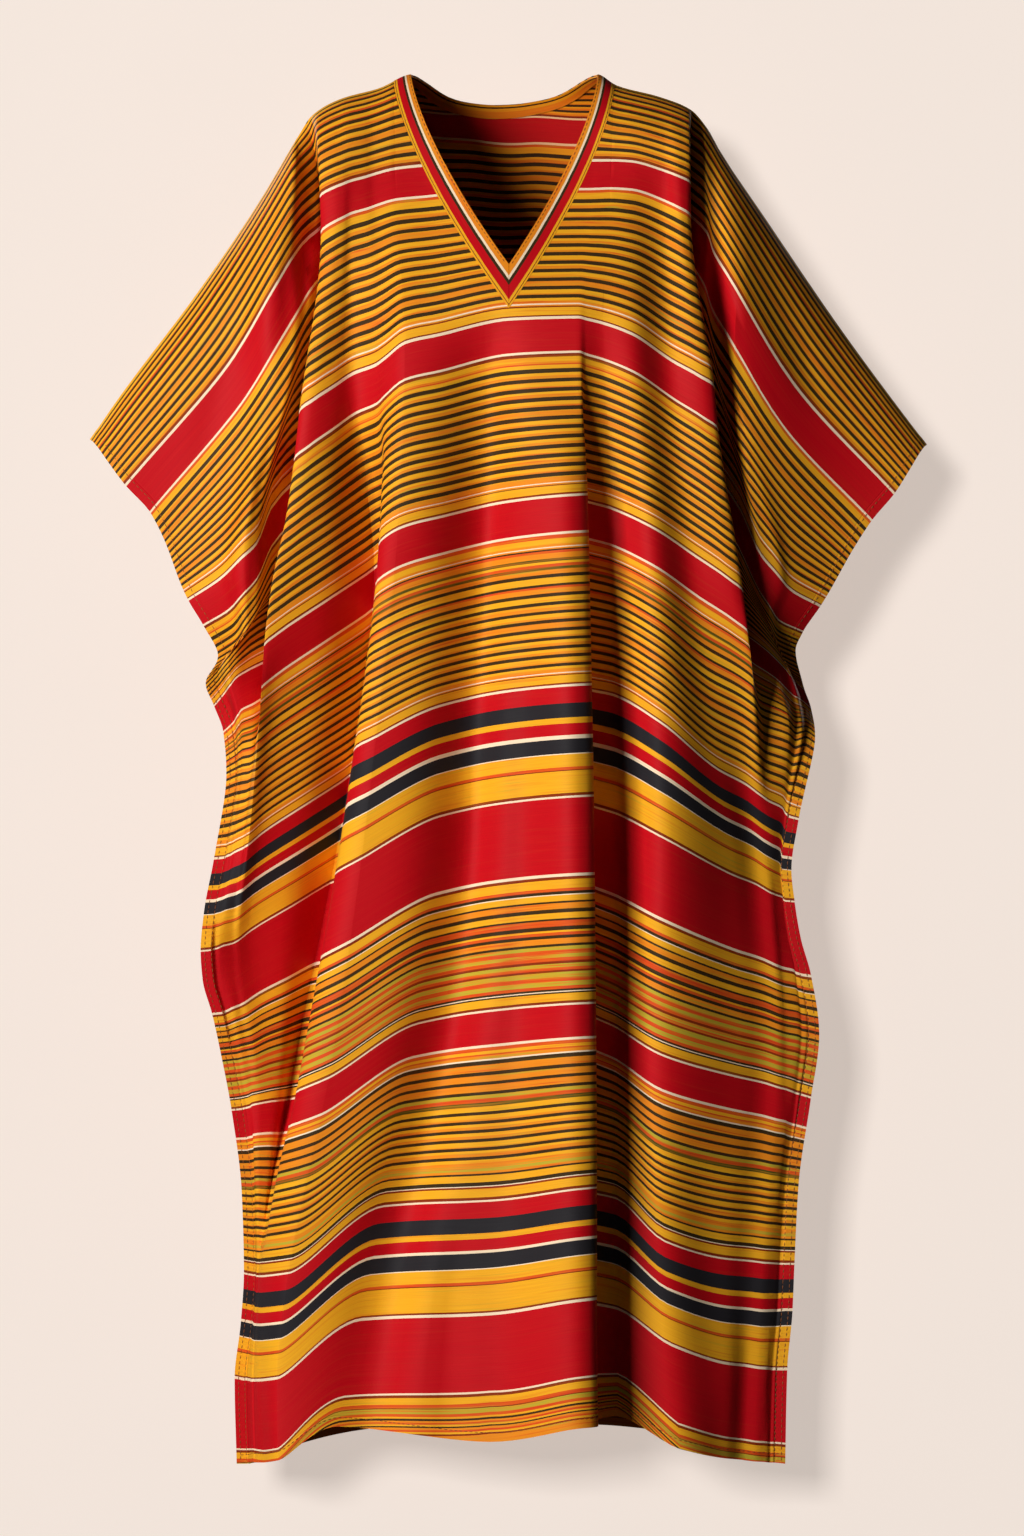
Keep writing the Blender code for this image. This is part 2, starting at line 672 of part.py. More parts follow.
def find_on_sheet(sheet, seen):
    """The places across and flat distances whose points are seen at the given spots."""
    start, end = neck_edges(sheet)
    wide = np.linspace(start - NECK_SEARCH_MARGIN, end + NECK_SEARCH_MARGIN, 80)
    across, flat = np.meshgrid(wide, np.linspace(0, NECK_SEARCH_DEPTH, 60))
    sample = sheet.seen(across.ravel(), flat.ravel())[:, [0, 2]]
    nearest = np.argmin(((seen[:, None] - sample[None]) ** 2).sum(axis=2), axis=1)
    guess = np.stack([across.ravel()[nearest], flat.ravel()[nearest]], axis=1)
    nudge = 0.5
    for _ in range(12):
        here = sheet.seen(guess[:, 0], guess[:, 1])[:, [0, 2]]
        by_across = (sheet.seen(guess[:, 0] + nudge, guess[:, 1])[:, [0, 2]] - here) / nudge
        by_flat = (sheet.seen(guess[:, 0], guess[:, 1] + nudge)[:, [0, 2]] - here) / nudge
        miss = seen - here
        size = by_across[:, 0] * by_flat[:, 1] - by_across[:, 1] * by_flat[:, 0]
        step_across = (miss[:, 0] * by_flat[:, 1] - miss[:, 1] * by_flat[:, 0]) / size
        step_flat = (by_across[:, 0] * miss[:, 1] - by_across[:, 1] * miss[:, 0]) / size
        guess[:, 0] += np.clip(step_across, -15, 15)
        guess[:, 1] = np.maximum(guess[:, 1] + np.clip(step_flat, -15, 15), 0)
    return guess


def v_curve(side, share, top, half_width, depth):
    """Points of one side of the V as seen: share runs from the shoulder to the tip."""
    half = half_width * (1 - share**V_BOW)
    return np.stack([neck_middle(share) + side * half, top - depth * share], axis=1)


def band_places(sheet, side):
    """The band's grid: a row for each of the panel's columns at the V, and columns across the band."""
    columns = columns_of(sheet)
    edges = neck_edges(sheet)
    tip = sheet.knots[sheet.names.index("middle")]
    start = edges[0] if side < 0 else edges[1]
    low, high = min(start, tip) - 1e-6, max(start, tip) + 1e-6
    own = columns[(columns >= low) & (columns <= high)]
    own = own if side < 0 else own[::-1]
    flat = sheet.neck_top(own)
    outer = sheet.seen(own, flat)[:, [0, 2]]
    share = np.clip((V_OUTER_TOP - outer[:, 1]) / V_OUTER_DEPTH, 0, 1)
    share[0], share[-1] = 0.0, 1.0
    inner = v_curve(side, share, NECK_TOP, V_INNER_HALF_WIDTH, V_INNER_DEPTH)
    width = np.linspace(0, 1, BAND_COLUMNS)
    width[-1] -= BAND_GAP / np.linalg.norm(outer[0] - inner[0])
    seen = inner[:, None] + (outer - inner)[:, None] * width[None, :, None]
    seen[-1, :, 0] = NECK_MIDDLE_TIP + side * SEAM_GAP / 2
    places = find_on_sheet(sheet, seen.reshape(-1, 2)).reshape(len(own), BAND_COLUMNS, 2)
    places[0, :, 1] = 0.0
    return places


def surface_normals(sheet, across, flat, outward):
    """Normals of a sheet's smooth surface at given places."""
    nudge = 1.0
    low = np.maximum(flat - nudge, 0)
    along = sheet.points(across + nudge, flat) - sheet.points(across - nudge, flat)
    down = sheet.points(across, flat + nudge) - sheet.points(across, low)
    normal = np.cross(along, down)
    normal *= np.sign(normal @ np.array(outward, float))[:, None]
    return normal / np.linalg.norm(normal, axis=1, keepdims=True)


def neck_band(sheet, side, name, material):
    """Half of the band round the V: it carries the panel's own surface on to the inner edge."""
    places = band_places(sheet, side)
    shape = places.shape[:2]
    across = places[..., 0].ravel()
    flat = places[..., 1].ravel()
    points = sheet.points(across, flat).reshape(shape + (3,))
    normals = surface_normals(sheet, across, flat, (0, -1, 0)).reshape(shape + (3,))
    points[0, :, 1] -= SEAM_GAP / 2 / 1000
    normals[0, :, 1] = 0
    normals[-1, :, 0] = 0
    normals /= np.linalg.norm(normals, axis=2, keepdims=True)
    half = CLOTH / 2 / 1000
    return sheet_object(name, points, normals, half, -half, material)


def back_neck_facing(sheet, material):
    """The strip inside the back of the neck: the panel's own points there, moved inwards."""
    across, points, normals, _ = panel_surface(sheet)
    start, end = neck_edges(sheet)
    own = (across >= start - 1e-6) & (across <= end + 1e-6)
    near = -(CLOTH / 2 + SEAM_GAP) / 1000
    strip, facing = points[:FACING_ROWS, own], normals[:FACING_ROWS, own]
    return sheet_object("back_neck_facing", strip, facing, near, near - CLOTH / 1000, material)


def clear_scene():
    for item in list(bpy.data.objects):
        bpy.data.objects.remove(item, do_unlink=True)


def main():
    clear_scene()
    folds = Folds()
    front = front_sheet(folds)
    back = back_sheet(folds)
    panel_cloth = cloth_material("panel_cloth", PANEL_COLOUR)
    band_cloth = cloth_material("band_cloth", BAND_COLOUR)
    facing_cloth = cloth_material("facing_cloth", FACING_COLOUR)
    panel(front, "front_panel", panel_cloth)
    panel(back, "back_panel", panel_cloth)
    neck_band(front, -1, "neck_band_left", band_cloth)
    neck_band(front, 1, "neck_band_right", band_cloth)
    back_neck_facing(back, facing_cloth)


main()
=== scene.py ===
"""A wide kaftan in crosswise striped cloth, as it looks when it is worn.

Laid out as an add-on and run as a script. Metres, +Z up, the front faces -Y, and +X is on the
right of someone who looks at the front. Each panel repeats the fold tables of its solid on a
finer grid, in millimetres as seen from the front, and adds the creases. The cloth's map gives each
point its place across and its own flat distance below the shoulder, which the stripes follow.
"""

import bpy
import numpy as np
from bpy.props import FloatProperty, FloatVectorProperty, PointerProperty
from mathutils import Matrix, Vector


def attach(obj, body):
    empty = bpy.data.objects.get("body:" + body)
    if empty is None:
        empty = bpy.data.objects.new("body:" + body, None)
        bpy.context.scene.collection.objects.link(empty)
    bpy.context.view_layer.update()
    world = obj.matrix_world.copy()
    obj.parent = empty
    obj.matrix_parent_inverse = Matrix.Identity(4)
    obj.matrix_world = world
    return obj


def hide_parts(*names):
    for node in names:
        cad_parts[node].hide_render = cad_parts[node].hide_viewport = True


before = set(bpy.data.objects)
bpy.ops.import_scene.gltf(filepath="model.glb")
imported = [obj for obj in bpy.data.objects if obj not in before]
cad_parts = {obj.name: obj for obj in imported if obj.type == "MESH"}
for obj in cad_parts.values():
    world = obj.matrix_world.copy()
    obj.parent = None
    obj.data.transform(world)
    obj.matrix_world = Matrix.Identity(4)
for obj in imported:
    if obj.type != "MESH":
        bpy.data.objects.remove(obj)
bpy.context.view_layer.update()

bl_info = {
    "name": "Striped Kaftan",
    "version": (1, 0, 0),
    "blender": (4, 5, 0),
    "location": "View3D > Sidebar > Kaftan",
    "description": "A wide kaftan in crosswise striped cloth, built round its packed solids",
    "category": "Object",
}

# Driving sizes, in millimetres.
HEM_FLAT = 1321.0
VIEW_DISTANCE = 5000.0
VIEW_HEIGHT = -669.0

# The neck, in millimetres. The two curves of the V have one law: half width against depth.
NECK_MIDDLE_TOP = -7.5
NECK_MIDDLE_TIP = -3.0
NECK_TOP = 3.0
V_INNER_HALF_WIDTH = 90.5
V_INNER_DEPTH = 184.0
V_OUTER_TOP = -6.0
V_OUTER_HALF_WIDTH = 107.5
V_OUTER_DEPTH = 218.0
V_BOW = 1.42
NECK_EDGE_SLACK = 0.5
BACK_NECK_DROP = 64.0
BACK_NECK_ROUND = 2.4

# The search for the neck's edge on the cloth, in millimetres and rounds.
NECK_SEARCH_DEPTH = 300.0
NECK_SEARCH_MARGIN = 60.0
NECK_SEARCH_GRID = (80, 60)
NECK_SEARCH_ROUNDS = 12
NECK_SEARCH_NUDGE = 0.5
NECK_SEARCH_MOST = 15.0
NECK_HALVINGS = 40
NECK_TOP_PLACES = 4001
NECK_LEAST_DEPTH = 0.001
NEAR_ZERO = 0.000001

# The shoulder line and the arm line: across, height.
SHOULDER_LINE = (
    (-409, -351), (-380, -309), (-303, -206), (-244, -119), (-206, -55), (-194, -37), (-167, -21),
    (-128, -10), (-98, 3), (-7, 8), (83, 3), (100, -7), (144, -19), (173, -31), (189, -49),
    (202, -72), (241, -130), (318, -243), (376, -322), (402, -356),
)
SHOULDER_DEPTH = 5.0
SHOULDER_FLAT_HALF = 200.0

# The cloth rolls over the shoulder line: share of the way to the first stripe, and the shares of
# its run across, its drop and its depth that are done by there.
SHOULDER_ROLL = (
    (0.10, 0.06, 0.03, 0.18), (0.28, 0.20, 0.15, 0.46), (0.60, 0.52, 0.50, 0.84),
)

# Columns of the next three tables, after the flat distance of the stripe.
FOLDS = (
    "cuff_l", "seam_l", "tuck_l", "ridge_l", "trough_l", "step_l", "crest_l", "dip_l", "middle",
    "edge_c", "dip_c", "crest_r", "dip_r", "ridge_r", "tuck_r", "seam_r", "cuff_r",
)
ACROSS = (
    (0, -409, -303, -212, -190, -162, -136, -115, -98, -7, 83, 100, 116, 146, 172, 187, 299, 402),
    (80, -375, -269, -216, -186, -157, -133, -114, -86, -3, 76, 97, 116, 148, 173, 195, 272, 371),
    (232, -314, -281, -248, -206, -155, -122, -104, -70, -3, 64, 89, 116, 155, 196, 242, 270, 299),
    (404, -289, -279, -268, -240, -134, -129, -111, -65, -2, 73, 97, 134, 178, 224, 267, 274, 284),
    (589, -289, -279, -272, -256, -158, -153, -132, -70, 3, 77, 100, 144, 200, 240, 265, 268, 278),
    (697, -302, -292, -285, -266, -176, -171, -146, -70, 3, 79, 105, 147, 214, 250, 263, 264, 274),
    (901, -272, -262, -258, -246, -218, -209, -178, -91, -2, 81, 103, 146, 219, 258, 276, 280, 290),
    (1086, -260, -250, -249, -247, -245, -242, -217, -124, -12,
     82, 102, 148, 207, 245, 260, 264, 274),
    (1199, -269, -259, -257, -252, -249, -244, -228, -146, -21,
     82, 103, 155, 210, 240, 253, 257, 267),
    (1321, -267, -257, -255, -250, -247, -240, -227, -169, -21,
     83, 102, 163, 207, 236, 250, 255, 265),
)
HEIGHT = (
    (80, -395, -269, -178, -115, -100, -93, -88, -85, -80,
     -80, -80, -81, -90, -102, -167, -295, -403),
    (232, -506, -484, -451, -324, -287, -271, -257, -249, -234,
     -232, -238, -248, -274, -300, -463, -496, -512),
    (404, -609, -597, -582, -550, -476, -453, -438, -425, -411,
     -404, -418, -435, -464, -499, -576, -585, -594),
    (589, -757, -756, -753, -744, -677, -652, -639, -609, -594,
     -588, -599, -625, -671, -695, -713, -716, -719),
    (697, -846, -845, -843, -836, -780, -771, -756, -715, -701,
     -695, -714, -736, -772, -789, -796, -797, -798),
    (901, -1001, -1000, -999, -995, -991, -984, -970, -917, -903,
     -897, -922, -948, -969, -979, -985, -986, -989),
    (1086, -1158, -1160, -1160, -1161, -1161, -1161, -1158, -1093, -1087,
     -1075, -1086, -1127, -1144, -1148, -1149, -1149, -1149),
    (1199, -1260, -1262, -1262, -1263, -1263, -1263, -1261, -1204, -1199,
     -1184, -1194, -1229, -1247, -1251, -1252, -1252, -1252),
    (1321, -1344, -1344, -1344, -1343, -1343, -1343, -1341, -1308, -1323,
     -1308, -1298, -1330, -1339, -1342, -1343, -1343, -1344),
)
DEPTH = (
    (80, -24, -30, -56, -52, -53, -46, -45, -44, -50, -44, -45, -47, -49, -52, -34, -30, -24),
    (232, -24, -36, -60, -90, -86, -102, -112, -112, -112,
     -113, -108, -112, -100, -94, -44, -36, -24),
    (404, 0, 0, -38, -84, -20, -116, -128, -126, -122, -128, -96, -120, -98, -95, -30, 0, 0),
    (589, 8, 8, -12, -52, 6, -112, -130, -128, -120, -142, -92, -130, -94, -71, -11, 5, 5),
    (697, 5, 5, -6, -42, 18, -104, -127, -126, -119, -146, -92, -128, -84, -63, -12, 2, 2),
    (901, -5, -5, -14, -36, -4, -100, -118, -118, -120, -150, -94, -118, -82, -65, -20, -6, -6),
    (1086, 0, 0, -8, -30, -38, -58, -98, -104, -118, -150, -94, -108, -77, -58, -12, 0, 0),
    (1199, 4, 4, -6, -28, -36, -52, -90, -98, -117, -150, -94, -106, -76, -58, -12, 2, 2),
    (1321, 6, 6, -4, -28, -34, -50, -88, -94, -116, -150, -92, -104, -75, -57, -11, 3, 3),
)

# How far each fold's edge hangs over the cloth behind it, and below zero where it is open, after
# the flat distance.
HANGS = ("sleeve_l", "body_l", "step", "centre", "body_r", "sleeve_r")
OVERHANG = (
    (0, -4, -9, -8, -6, -4, -3),
    (80, -12, 5, -10, -8, 5, -6),
    (232, -14, 10, -10, -8, 10, -20),
    (404, -14, 7, 9, 7, 9, -20),
    (470, -9, -2, 9.5, 7.5, -4, -12),
    (589, -4, -5, 10, 9, -9, -3),
    (697, -4, -5, 9, 10, -6, -0.5),
    (901, -4, -6, 8, 10, -8, -4),
    (1086, -0.5, -1, -2, 10, -7, -3),
    (1199, -1, -2, -3, 9, -7, -3),
    (1321, -1, -2, -3, 8, -7, -3),
)

# Depth of the valley between sleeve and body, on its sleeve side and its body side, after the flat
# distance.
VALLEY_SIDES = ("sleeve_l", "body_l", "body_r", "sleeve_r")
FRONT_VALLEY = (
    (0, 0, 0, 0, 0),
    (80, -40, 2, -6, -36),
    (232, -37, -6, -16, -42),
    (404, -30, -12, -22, -44),
    (470, -28, -26, -50, -40),
    (589, -20, -32, -48, -22),
    (697, -14, -26, -42, -21),
    (901, -20, -28, -47, -30),
    (1086, -13, -19, -40, -22),
    (1199, -12, -19, -40, -22),
    (1321, -10, -18, -39, -22),
)
BACK_VALLEY = (
    (0, 0, 0, 0, 0),
    (80, -27, -29, -29, -27),
    (232, -14, -17, -17, -14),
    (404, -14, -26, -24, -13),
    (589, -12, -32, -20, -9),
    (697, -14, -30, -34, -17),
    (901, -22, -34, -34, -22),
    (1086, -13, -19, -32, -18),
    (1199, -12, -19, -30, -17),
    (1321, -10, -18, -28, -15),
)

# The side seams lie further forward than the middle of the garment: flat distance, left, right.
SEAM_FORWARD = (
    (0, 0, 0), (404, 0, 0), (500, 8, 36), (589, 30, 60), (697, 58, 56), (760, 48, 52),
    (901, 22, 48), (1086, 8, 48), (1321, 0, 50),
)
FORWARD_SHARES = {
    "cuff": 1.0,
    "seam": 1.0,
    "lip": 0.76,
    "tuck": 0.76,
    "vale_in": 0.6,
    "vale_out": 0.3,
    "ridge": 0.0,
    "brow": 0.0,
}

# More points of the cuff edges and side seams: flat distance, left across and height, right
# across and height.
EDGES = (
    (105, -351, -421, 349, -429),
    (266, -299, -531, 282, -537),
    (305, -285, -560, 275, -555),
    (355, -297, -587, 280, -580),
    (439, -280, -634, 290, -611),
    (510, -277, -676, 294, -640),
    (655, -299, -811, 271, -768),
    (735, -300, -875, 280, -834),
    (773, -291, -907, 290, -870),
    (835, -282, -948, 298, -928),
    (1000, -262, -1083, 278, -1073),
    (1140, -263, -1207, 272, -1197),
)
EDGE_SHARES = (("cuff", 1.0), ("seam", 1.0), ("tuck", 0.7), ("ridge", 0.15))

# Folds of the back: across at the first stripe and at the hem, depth at the first stripe, at the
# underarm and at the hem.
BACK_FOLDS = (
    ("back_dip_1", -152, -202, 60, 88, 56),
    ("back_crest_1", -116, -158, 66, 112, 118),
    ("back_dip_2", -74, -112, 68, 103, 84),
    ("back_crest_2", -30, -46, 70, 114, 140),
    ("back_dip_3", 16, 12, 70, 104, 64),
    ("back_crest_3", 66, 80, 69, 112, 124),
    ("back_dip_4", 108, 142, 66, 98, 74),
    ("back_crest_4", 146, 186, 60, 101, 112),
)
BACK_LIFT = 45.0
BACK_LIFT_LEFT_AT_HEM = 0.35
# The stripes of the back droop from its middle to its sides by this power, at the top and at the hem.
BACK_DROOP = 1.8
BACK_DROOP_AT_HEM = 3.4
BACK_DROOP_EASE = 3

# Flat distances that several folds share.
FIRST_STRIPE = ACROSS[1][0]
UNDERARM = ACROSS[3][0]
LAST_STRIPE = ACROSS[-2][0]
CUFF_END = EDGES[2][0]
SEAM_START = EDGES[3][0]

# The cloth's own flat distance at the hem edge, below each fold.
HEM_CUT = (
    1291, 1291, 1291, 1290, 1289, 1288, 1288, 1305, 1324,
    1325, 1326, 1300, 1297, 1296, 1296, 1296, 1296,
)

# Rounding of fold edges: how far in from an edge its crest lies, and how far it stands out.
CREST_INSET = 13.0
CREST_RISE = 6.0
CENTRE_CREST_INSET = 20.0
CENTRE_CREST_RISE = 13.0
CREST_MOST_SHARE = 0.45
CREST_FULL_AT_HANG = 6.0

# The hidden folds: how far each lies, in height or in depth, from the fold it is named after
# towards the next one.
LIP_SHARE = 0.4
VALE_IN_SHARE = 0.27
VALE_OUT_SHARE = 0.64
BROW_SHARE = 0.42
BROW_DEPTH_SHARE = 0.14
SLOPE_SHARE = 0.5
SLOPE_DEPTH_SHARE = 0.24
STEP_UNDER_SHARE = 0.45
CENTRE_CREST_SHARE = 0.16
CENTRE_UNDER_SHARE = 0.3
CENTRE_UNDER_DEPTH_SHARE = 0.42

# How many times as fast as a straight line a ridge's outer edge falls towards the next fold.
BROW_STEEPER = 1.25

# Finer grid of the visible cloth, in millimetres.
COLUMN_STEP = 8.0
LEAST_COLUMNS = 4
EDGE_COLUMNS = 20
EDGE_EASE = 1.6
CORNER_CLEARANCE = 1.0
ROLL_ROWS = 18
BODY_ROWS = 200
HEM_ROWS = (1296.0, 1303.0, 1308.5, 1310.5, 1312.5, 1316.0, 1321.0)
BAND_ROWS = 110
BAND_COLUMNS = 13
FACING_DEPTH = 17.0
FACING_ROWS = 9

# In a tight fold one side of the wall would turn over: the most rounds that ease it, the least share
# of a step that has to be left, and what each round leaves of the wall's thickness there.
EASING_ROUNDS = 8
EASING_LEAST = 0.3
EASING_STEP = 0.7

# Soft creases, in millimetres as seen from the front: half widths of the left and right sides, and
# the path down the trough as places across, heights and depths. A ridge's depths are below zero.
FRONT_CREASES = (
    ("centre_left", 40.0, 22.0, (
        (-19, -215, 0), (-24, -293, 22), (-25, -390, 36), (-28, -506, 38), (-36, -623, 37),
        (-40, -749, 36), (-50, -856, 34), (-74, -1001, 32), (-108, -1127, 28), (-132, -1282, 20),
        (-140, -1350, 18),
    )),
    ("valley_left", 20.0, 3.0, (
        (-192, -60, 0), (-197, -100, 9), (-199, -150, 12), (-203, -222, 8), (-206, -300, 3),
        (-210, -360, 0),
    )),
    ("right_chest", 24.0, 16.0, (
        (139, -84, 0), (144, -157, 9), (151, -244, 9), (159, -341, 4), (167, -429, 0),
    )),
    ("sleeve_edge_left", 46.0, 10.0, (
        (-216, -80, 0), (-232, -190, -8), (-250, -330, -10), (-258, -440, -10), (-264, -560, 0),
    )),
    ("sleeve_edge_right", 10.0, 76.0, (
        (206, -60, 0), (210, -110, -22), (214, -200, -33), (222, -320, -34), (236, -430, -24),
        (250, -520, -10), (262, -580, 0),
    )),
    ("left_fold_high", 32.0, 26.0, (
        (-166, -110, 0), (-158, -190, 6), (-150, -290, 14), (-144, -380, 14), (-138, -460, 0),
    )),
    ("small_low", 9.0, 16.0, (
        (-55, -1079, 0), (-60, -1176, 4), (-64, -1263, 6), (-66, -1350, 6),
    )),
    ("sleeve_left", 14.0, 24.0, (
        (-206, -70, 0), (-242, -167, 5), (-266, -244, 5), (-288, -332, 4), (-307, -400, 0),
    )),
    ("sleeve_right", 20.0, 12.0, (
        (208, -80, 0), (250, -186, 5), (279, -254, 5), (303, -341, 0),
    )),
    ("low_right", 24.0, 20.0, (
        (177, -1001, 0), (182, -1088, 4), (188, -1214, 5), (190, -1350, 4),
    )),
)
BACK_CREASES = (
    ("blade_left", 16.0, 24.0, (
        (-98, -100, 0), (-92, -220, 8), (-88, -360, 8), (-84, -540, 0),
    )),
    ("blade_right", 22.0, 14.0, (
        (86, -120, 0), (92, -280, 9), (98, -460, 8), (104, -660, 0),
    )),
    ("waist", 14.0, 12.0, (
        (22, -540, 0), (14, -680, 7), (8, -820, 6), (4, -980, 0),
    )),
    ("low_left", 10.0, 18.0, (
        (-126, -760, 0), (-132, -960, 6), (-142, -1160, 7), (-150, -1360, 6),
    )),
    ("low_right", 14.0, 10.0, (
        (126, -860, 0), (130, -1020, 6), (142, -1200, 7), (150, -1360, 5),
    )),
    ("sleeve_left_back", 22.0, 14.0, (
        (-214, -80, 0), (-252, -180, 6), (-286, -290, 6), (-312, -400, 0),
    )),
    ("sleeve_right_back", 12.0, 24.0, (
        (220, -100, 0), (262, -220, 7), (284, -310, 5), (300, -410, 0),
    )),
)

# The woven stripes, by flat distance in millimetres: where each starts, and its colour.
YOKE_STRIPES = (
    (0, "yellow"), (76.3, "brown_red"), (78.2, "cream"), (81.2, "red"), (103.4, "cream"),
    (106.2, "orange_red"), (108.6, "yellow"),
)
SECOND_RED = (
    (217.5, "cream"), (219.2, "orange"), (220.3, "brown_red"), (221.4, "yellow"),
    (229.0, "brown_red"), (230.2, "cream"), (233.4, "red"), (263.9, "cream"), (267.0, "brown_red"),
    (269.6, "yellow"), (273.8, "orange"), (275.6, "orange_red"), (277.2, "yellow"),
)
THIRD_RED = (
    (389.6, "cream"), (391.2, "orange"), (392.2, "brown_red"), (393.2, "yellow"),
    (400.5, "brown_red"), (401.8, "cream"), (405.3, "red"), (437.8, "cream"), (441.1, "orange_red"),
    (444.4, "yellow"), (449.8, "orange"), (452.0, "cream"), (453.4, "orange"), (454.4, "line"),
    (456.0, "orange_red"), (458.4, "orange"), (463.4, "green"), (466.2, "yellow"),
    (468.8, "orange_red"), (471.8, "green"), (474.4, "orange"), (478.8, "line"), (482.0, "yellow"),
    (488.0, "line"), (490.8, "orange_red"), (492.4, "orange"), (497.2, "line"), (500.6, "yellow"),
)
ABOVE_BLACK = (
    (575.2, "cream"), (576.6, "orange"), (577.4, "brown_red"), (578.4, "yellow"),
    (586.2, "brown_red"),
)
# Two blocks are woven twice: where each starts, and offsets from its top white line.
BLACK_STARTS = (587.4, 1085.4)
WIDE_RED_STARTS = (696.1, 1197.2)
BLACK_AND_RED = (
    (0.0, "cream"), (3.2, "red"), (18.0, "black"), (32.8, "yellow"), (38.5, "red"), (49.5, "cream"),
    (53.5, "black"), (67.4, "cream"), (69.2, "yellow"), (80.8, "orange_red"), (83.2, "brown_red"),
    (84.8, "yellow"),
)
WIDE_RED = (
    (-2.0, "brown_red"), (-0.4, "cream"), (3.4, "red"), (76.2, "cream"), (79.0, "brown_red"),
    (81.6, "yellow"),
)
SKIRT_STRIPES = (
    (786.4, "orange_red"), (789.4, "line"), (791.8, "cream"), (793.0, "yellow"), (799.2, "line"),
    (800.8, "orange"), (806.2, "line"), (810.0, "yellow"), (815.4, "line"), (818.2, "orange_red"),
    (823.6, "line"), (827.2, "yellow"), (829.0, "orange_red"), (832.4, "line"), (835.4, "orange"),
    (840.6, "line"), (843.4, "lime"), (846.6, "orange_red"), (850.8, "lime"), (854.4, "orange_red"),
    (857.6, "brown_red"), (860.0, "lime"), (863.8, "orange_red"), (866.8, "brown_red"),
    (868.8, "lime"), (873.6, "orange_red"), (877.6, "lime"), (882.2, "orange_red"), (885.2, "line"),
    (887.0, "cream"), (888.4, "line"), (889.6, "yellow"), (897.4, "brown_red"), (899.0, "cream"),
    (902.2, "red"), (933.2, "cream"), (936.6, "orange_red"), (939.6, "yellow"),
    (942.6, "orange_red"), (944.0, "orange"), (947.2, "cream"), (949.2, "line"), (953.4, "orange"),
    (960.4, "line"), (963.6, "orange"), (970.0, "line"), (973.2, "orange"), (979.8, "line"),
    (982.9, "lime"), (986.4, "orange_red"), (990.4, "green"), (994.2, "yellow"),
)
ABOVE_LOW_BLACK = (
    (1052.0, "orange"), (1054.6, "lime"), (1057.8, "orange"), (1060.2, "line"), (1062.0, "yellow"),
    (1068.4, "line"), (1071.8, "cream"), (1073.2, "brown_red"), (1074.6, "yellow"),
    (1083.4, "brown_red"),
)
HEM_STRIPES = (
    (1285.0, "orange_red"), (1288.2, "brown_red"), (1289.6, "lime"), (1294.6, "orange_red"),
    (1297.4, "yellow"), (1299.4, "line"), (1301.4, "orange"), (1303.2, "orange_red"),
    (1305.2, "yellow"), (1306.8, "line"), (1308.2, "orange"), (1310.4, "orange_red"),
    (1312.4, "yellow"), (1314.2, "brown_red"), (1316.0, "orange"),
)
# Even dark lines: flat distance of the first and of the end, how many, how wide each is.
EVEN_LINES = (
    (5.2, 76.3, 10, 2.9),
    (114.4, 217.5, 12, 3.5),
    (280.8, 389.6, 12, 3.9),
    (506.0, 575.2, 8, 3.1),
    (999.2, 1052.0, 6, 3.1),
)
# The share of the ground below each even line that is orange, and what each side of a white line
# gives up of its width.
ORANGE_SHARES = (0.45, 0.25, 0.6, 0.35, 0.95, 0.3, 0.5)
CREAM_TRIM = 0.14
# Some of the first even lines, those that start above this distance, are bright red instead.
BRIGHT_END = 10.0
BRIGHT_LINES = (0, 2, 3)
CLOTH_END = 1340.0
RAMP_STOPS = 30

# How far a colour wanders along its thread towards its neighbours in the dye bath.
WANDER = {
    "yellow": 0.34,
    "orange": 0.60,
    "orange_red": 0.50,
    "lime": 0.80,
    "line": 0.03,
    "green": 0.50,
    "brown_red": 0.20,
    "red": 0.02,
    "black": 0.0,
    "cream": 0.04,
}

# The stripes of the neck band, as shares of its width from the outer edge.
BAND_STRIPES = (
    (0.0, "yellow"), (0.08, "brown_red"), (0.11, "yellow"), (0.21, "red"), (0.53, "line"),
    (0.65, "cream"), (0.75, "orange"),
)

# The stripes of the strip inside the neck, as shares of its width from the top.
FACING_STRIPES = ((0.0, "yellow"), (0.14, "line"), (0.26, "yellow"), (0.5, "orange"))

# Stripes of the back are drawn up beside the neck: by how much, how much more on the left, and over
# what distances.
LEVEL_RISE = 27.0
LEVEL_TILT = 9.0
LEVEL_HALF = 100.0
LEVEL_POWER = 1.8
LEVEL_END = 220.0
LEVEL_FLAT = 110.0
LEVEL_FLAT_END = 440.0

# Stitches: places on the cloth from the edge in metres, how many columns at each end of the hem have
# none, shares of the band's width, and the parts of one thread tube.
CUFF_STITCH = 0.0078
SIDE_STITCHES = (0.004, 0.0105)
HEM_STITCH = 0.0088
HEM_SKIP = 4
BAND_STITCHES = (0.1, 0.9)
STITCH_SECTIONS = 5
STITCH_SIDES = 6
STITCH_RISE = 0.55
STITCH_SINK = 0.2
STITCH_END_SHARE = 0.25
SHARP_EDGE_DEGREES = 60.0

# The stage, in metres: the wall's distance behind the shoulders, the floor's height, and the camera.
WALL_DEPTH = 0.2
FLOOR_HEIGHT = -1.9
STAGE_HALF = 3.0
CAMERA_PLACE = (0.0, -5.0, -0.6693)
CAMERA_LENS = 120.8

# The weave and the turned edge, in metres.
WEAVE_PITCH = 0.0009
GROOVE_HALF_WIDTH = 0.0009
EDGE_STEP = 0.002
FAR_FROM_EDGE = 1.0
# The inside faces are multiplied by this colour: partly the more orange wrong side of the cloth, partly
# painted shade that darkens the inside of the garment.
INSIDE_SHADE_AND_TINT = (0.84, 0.62, 0.45, 1.0)

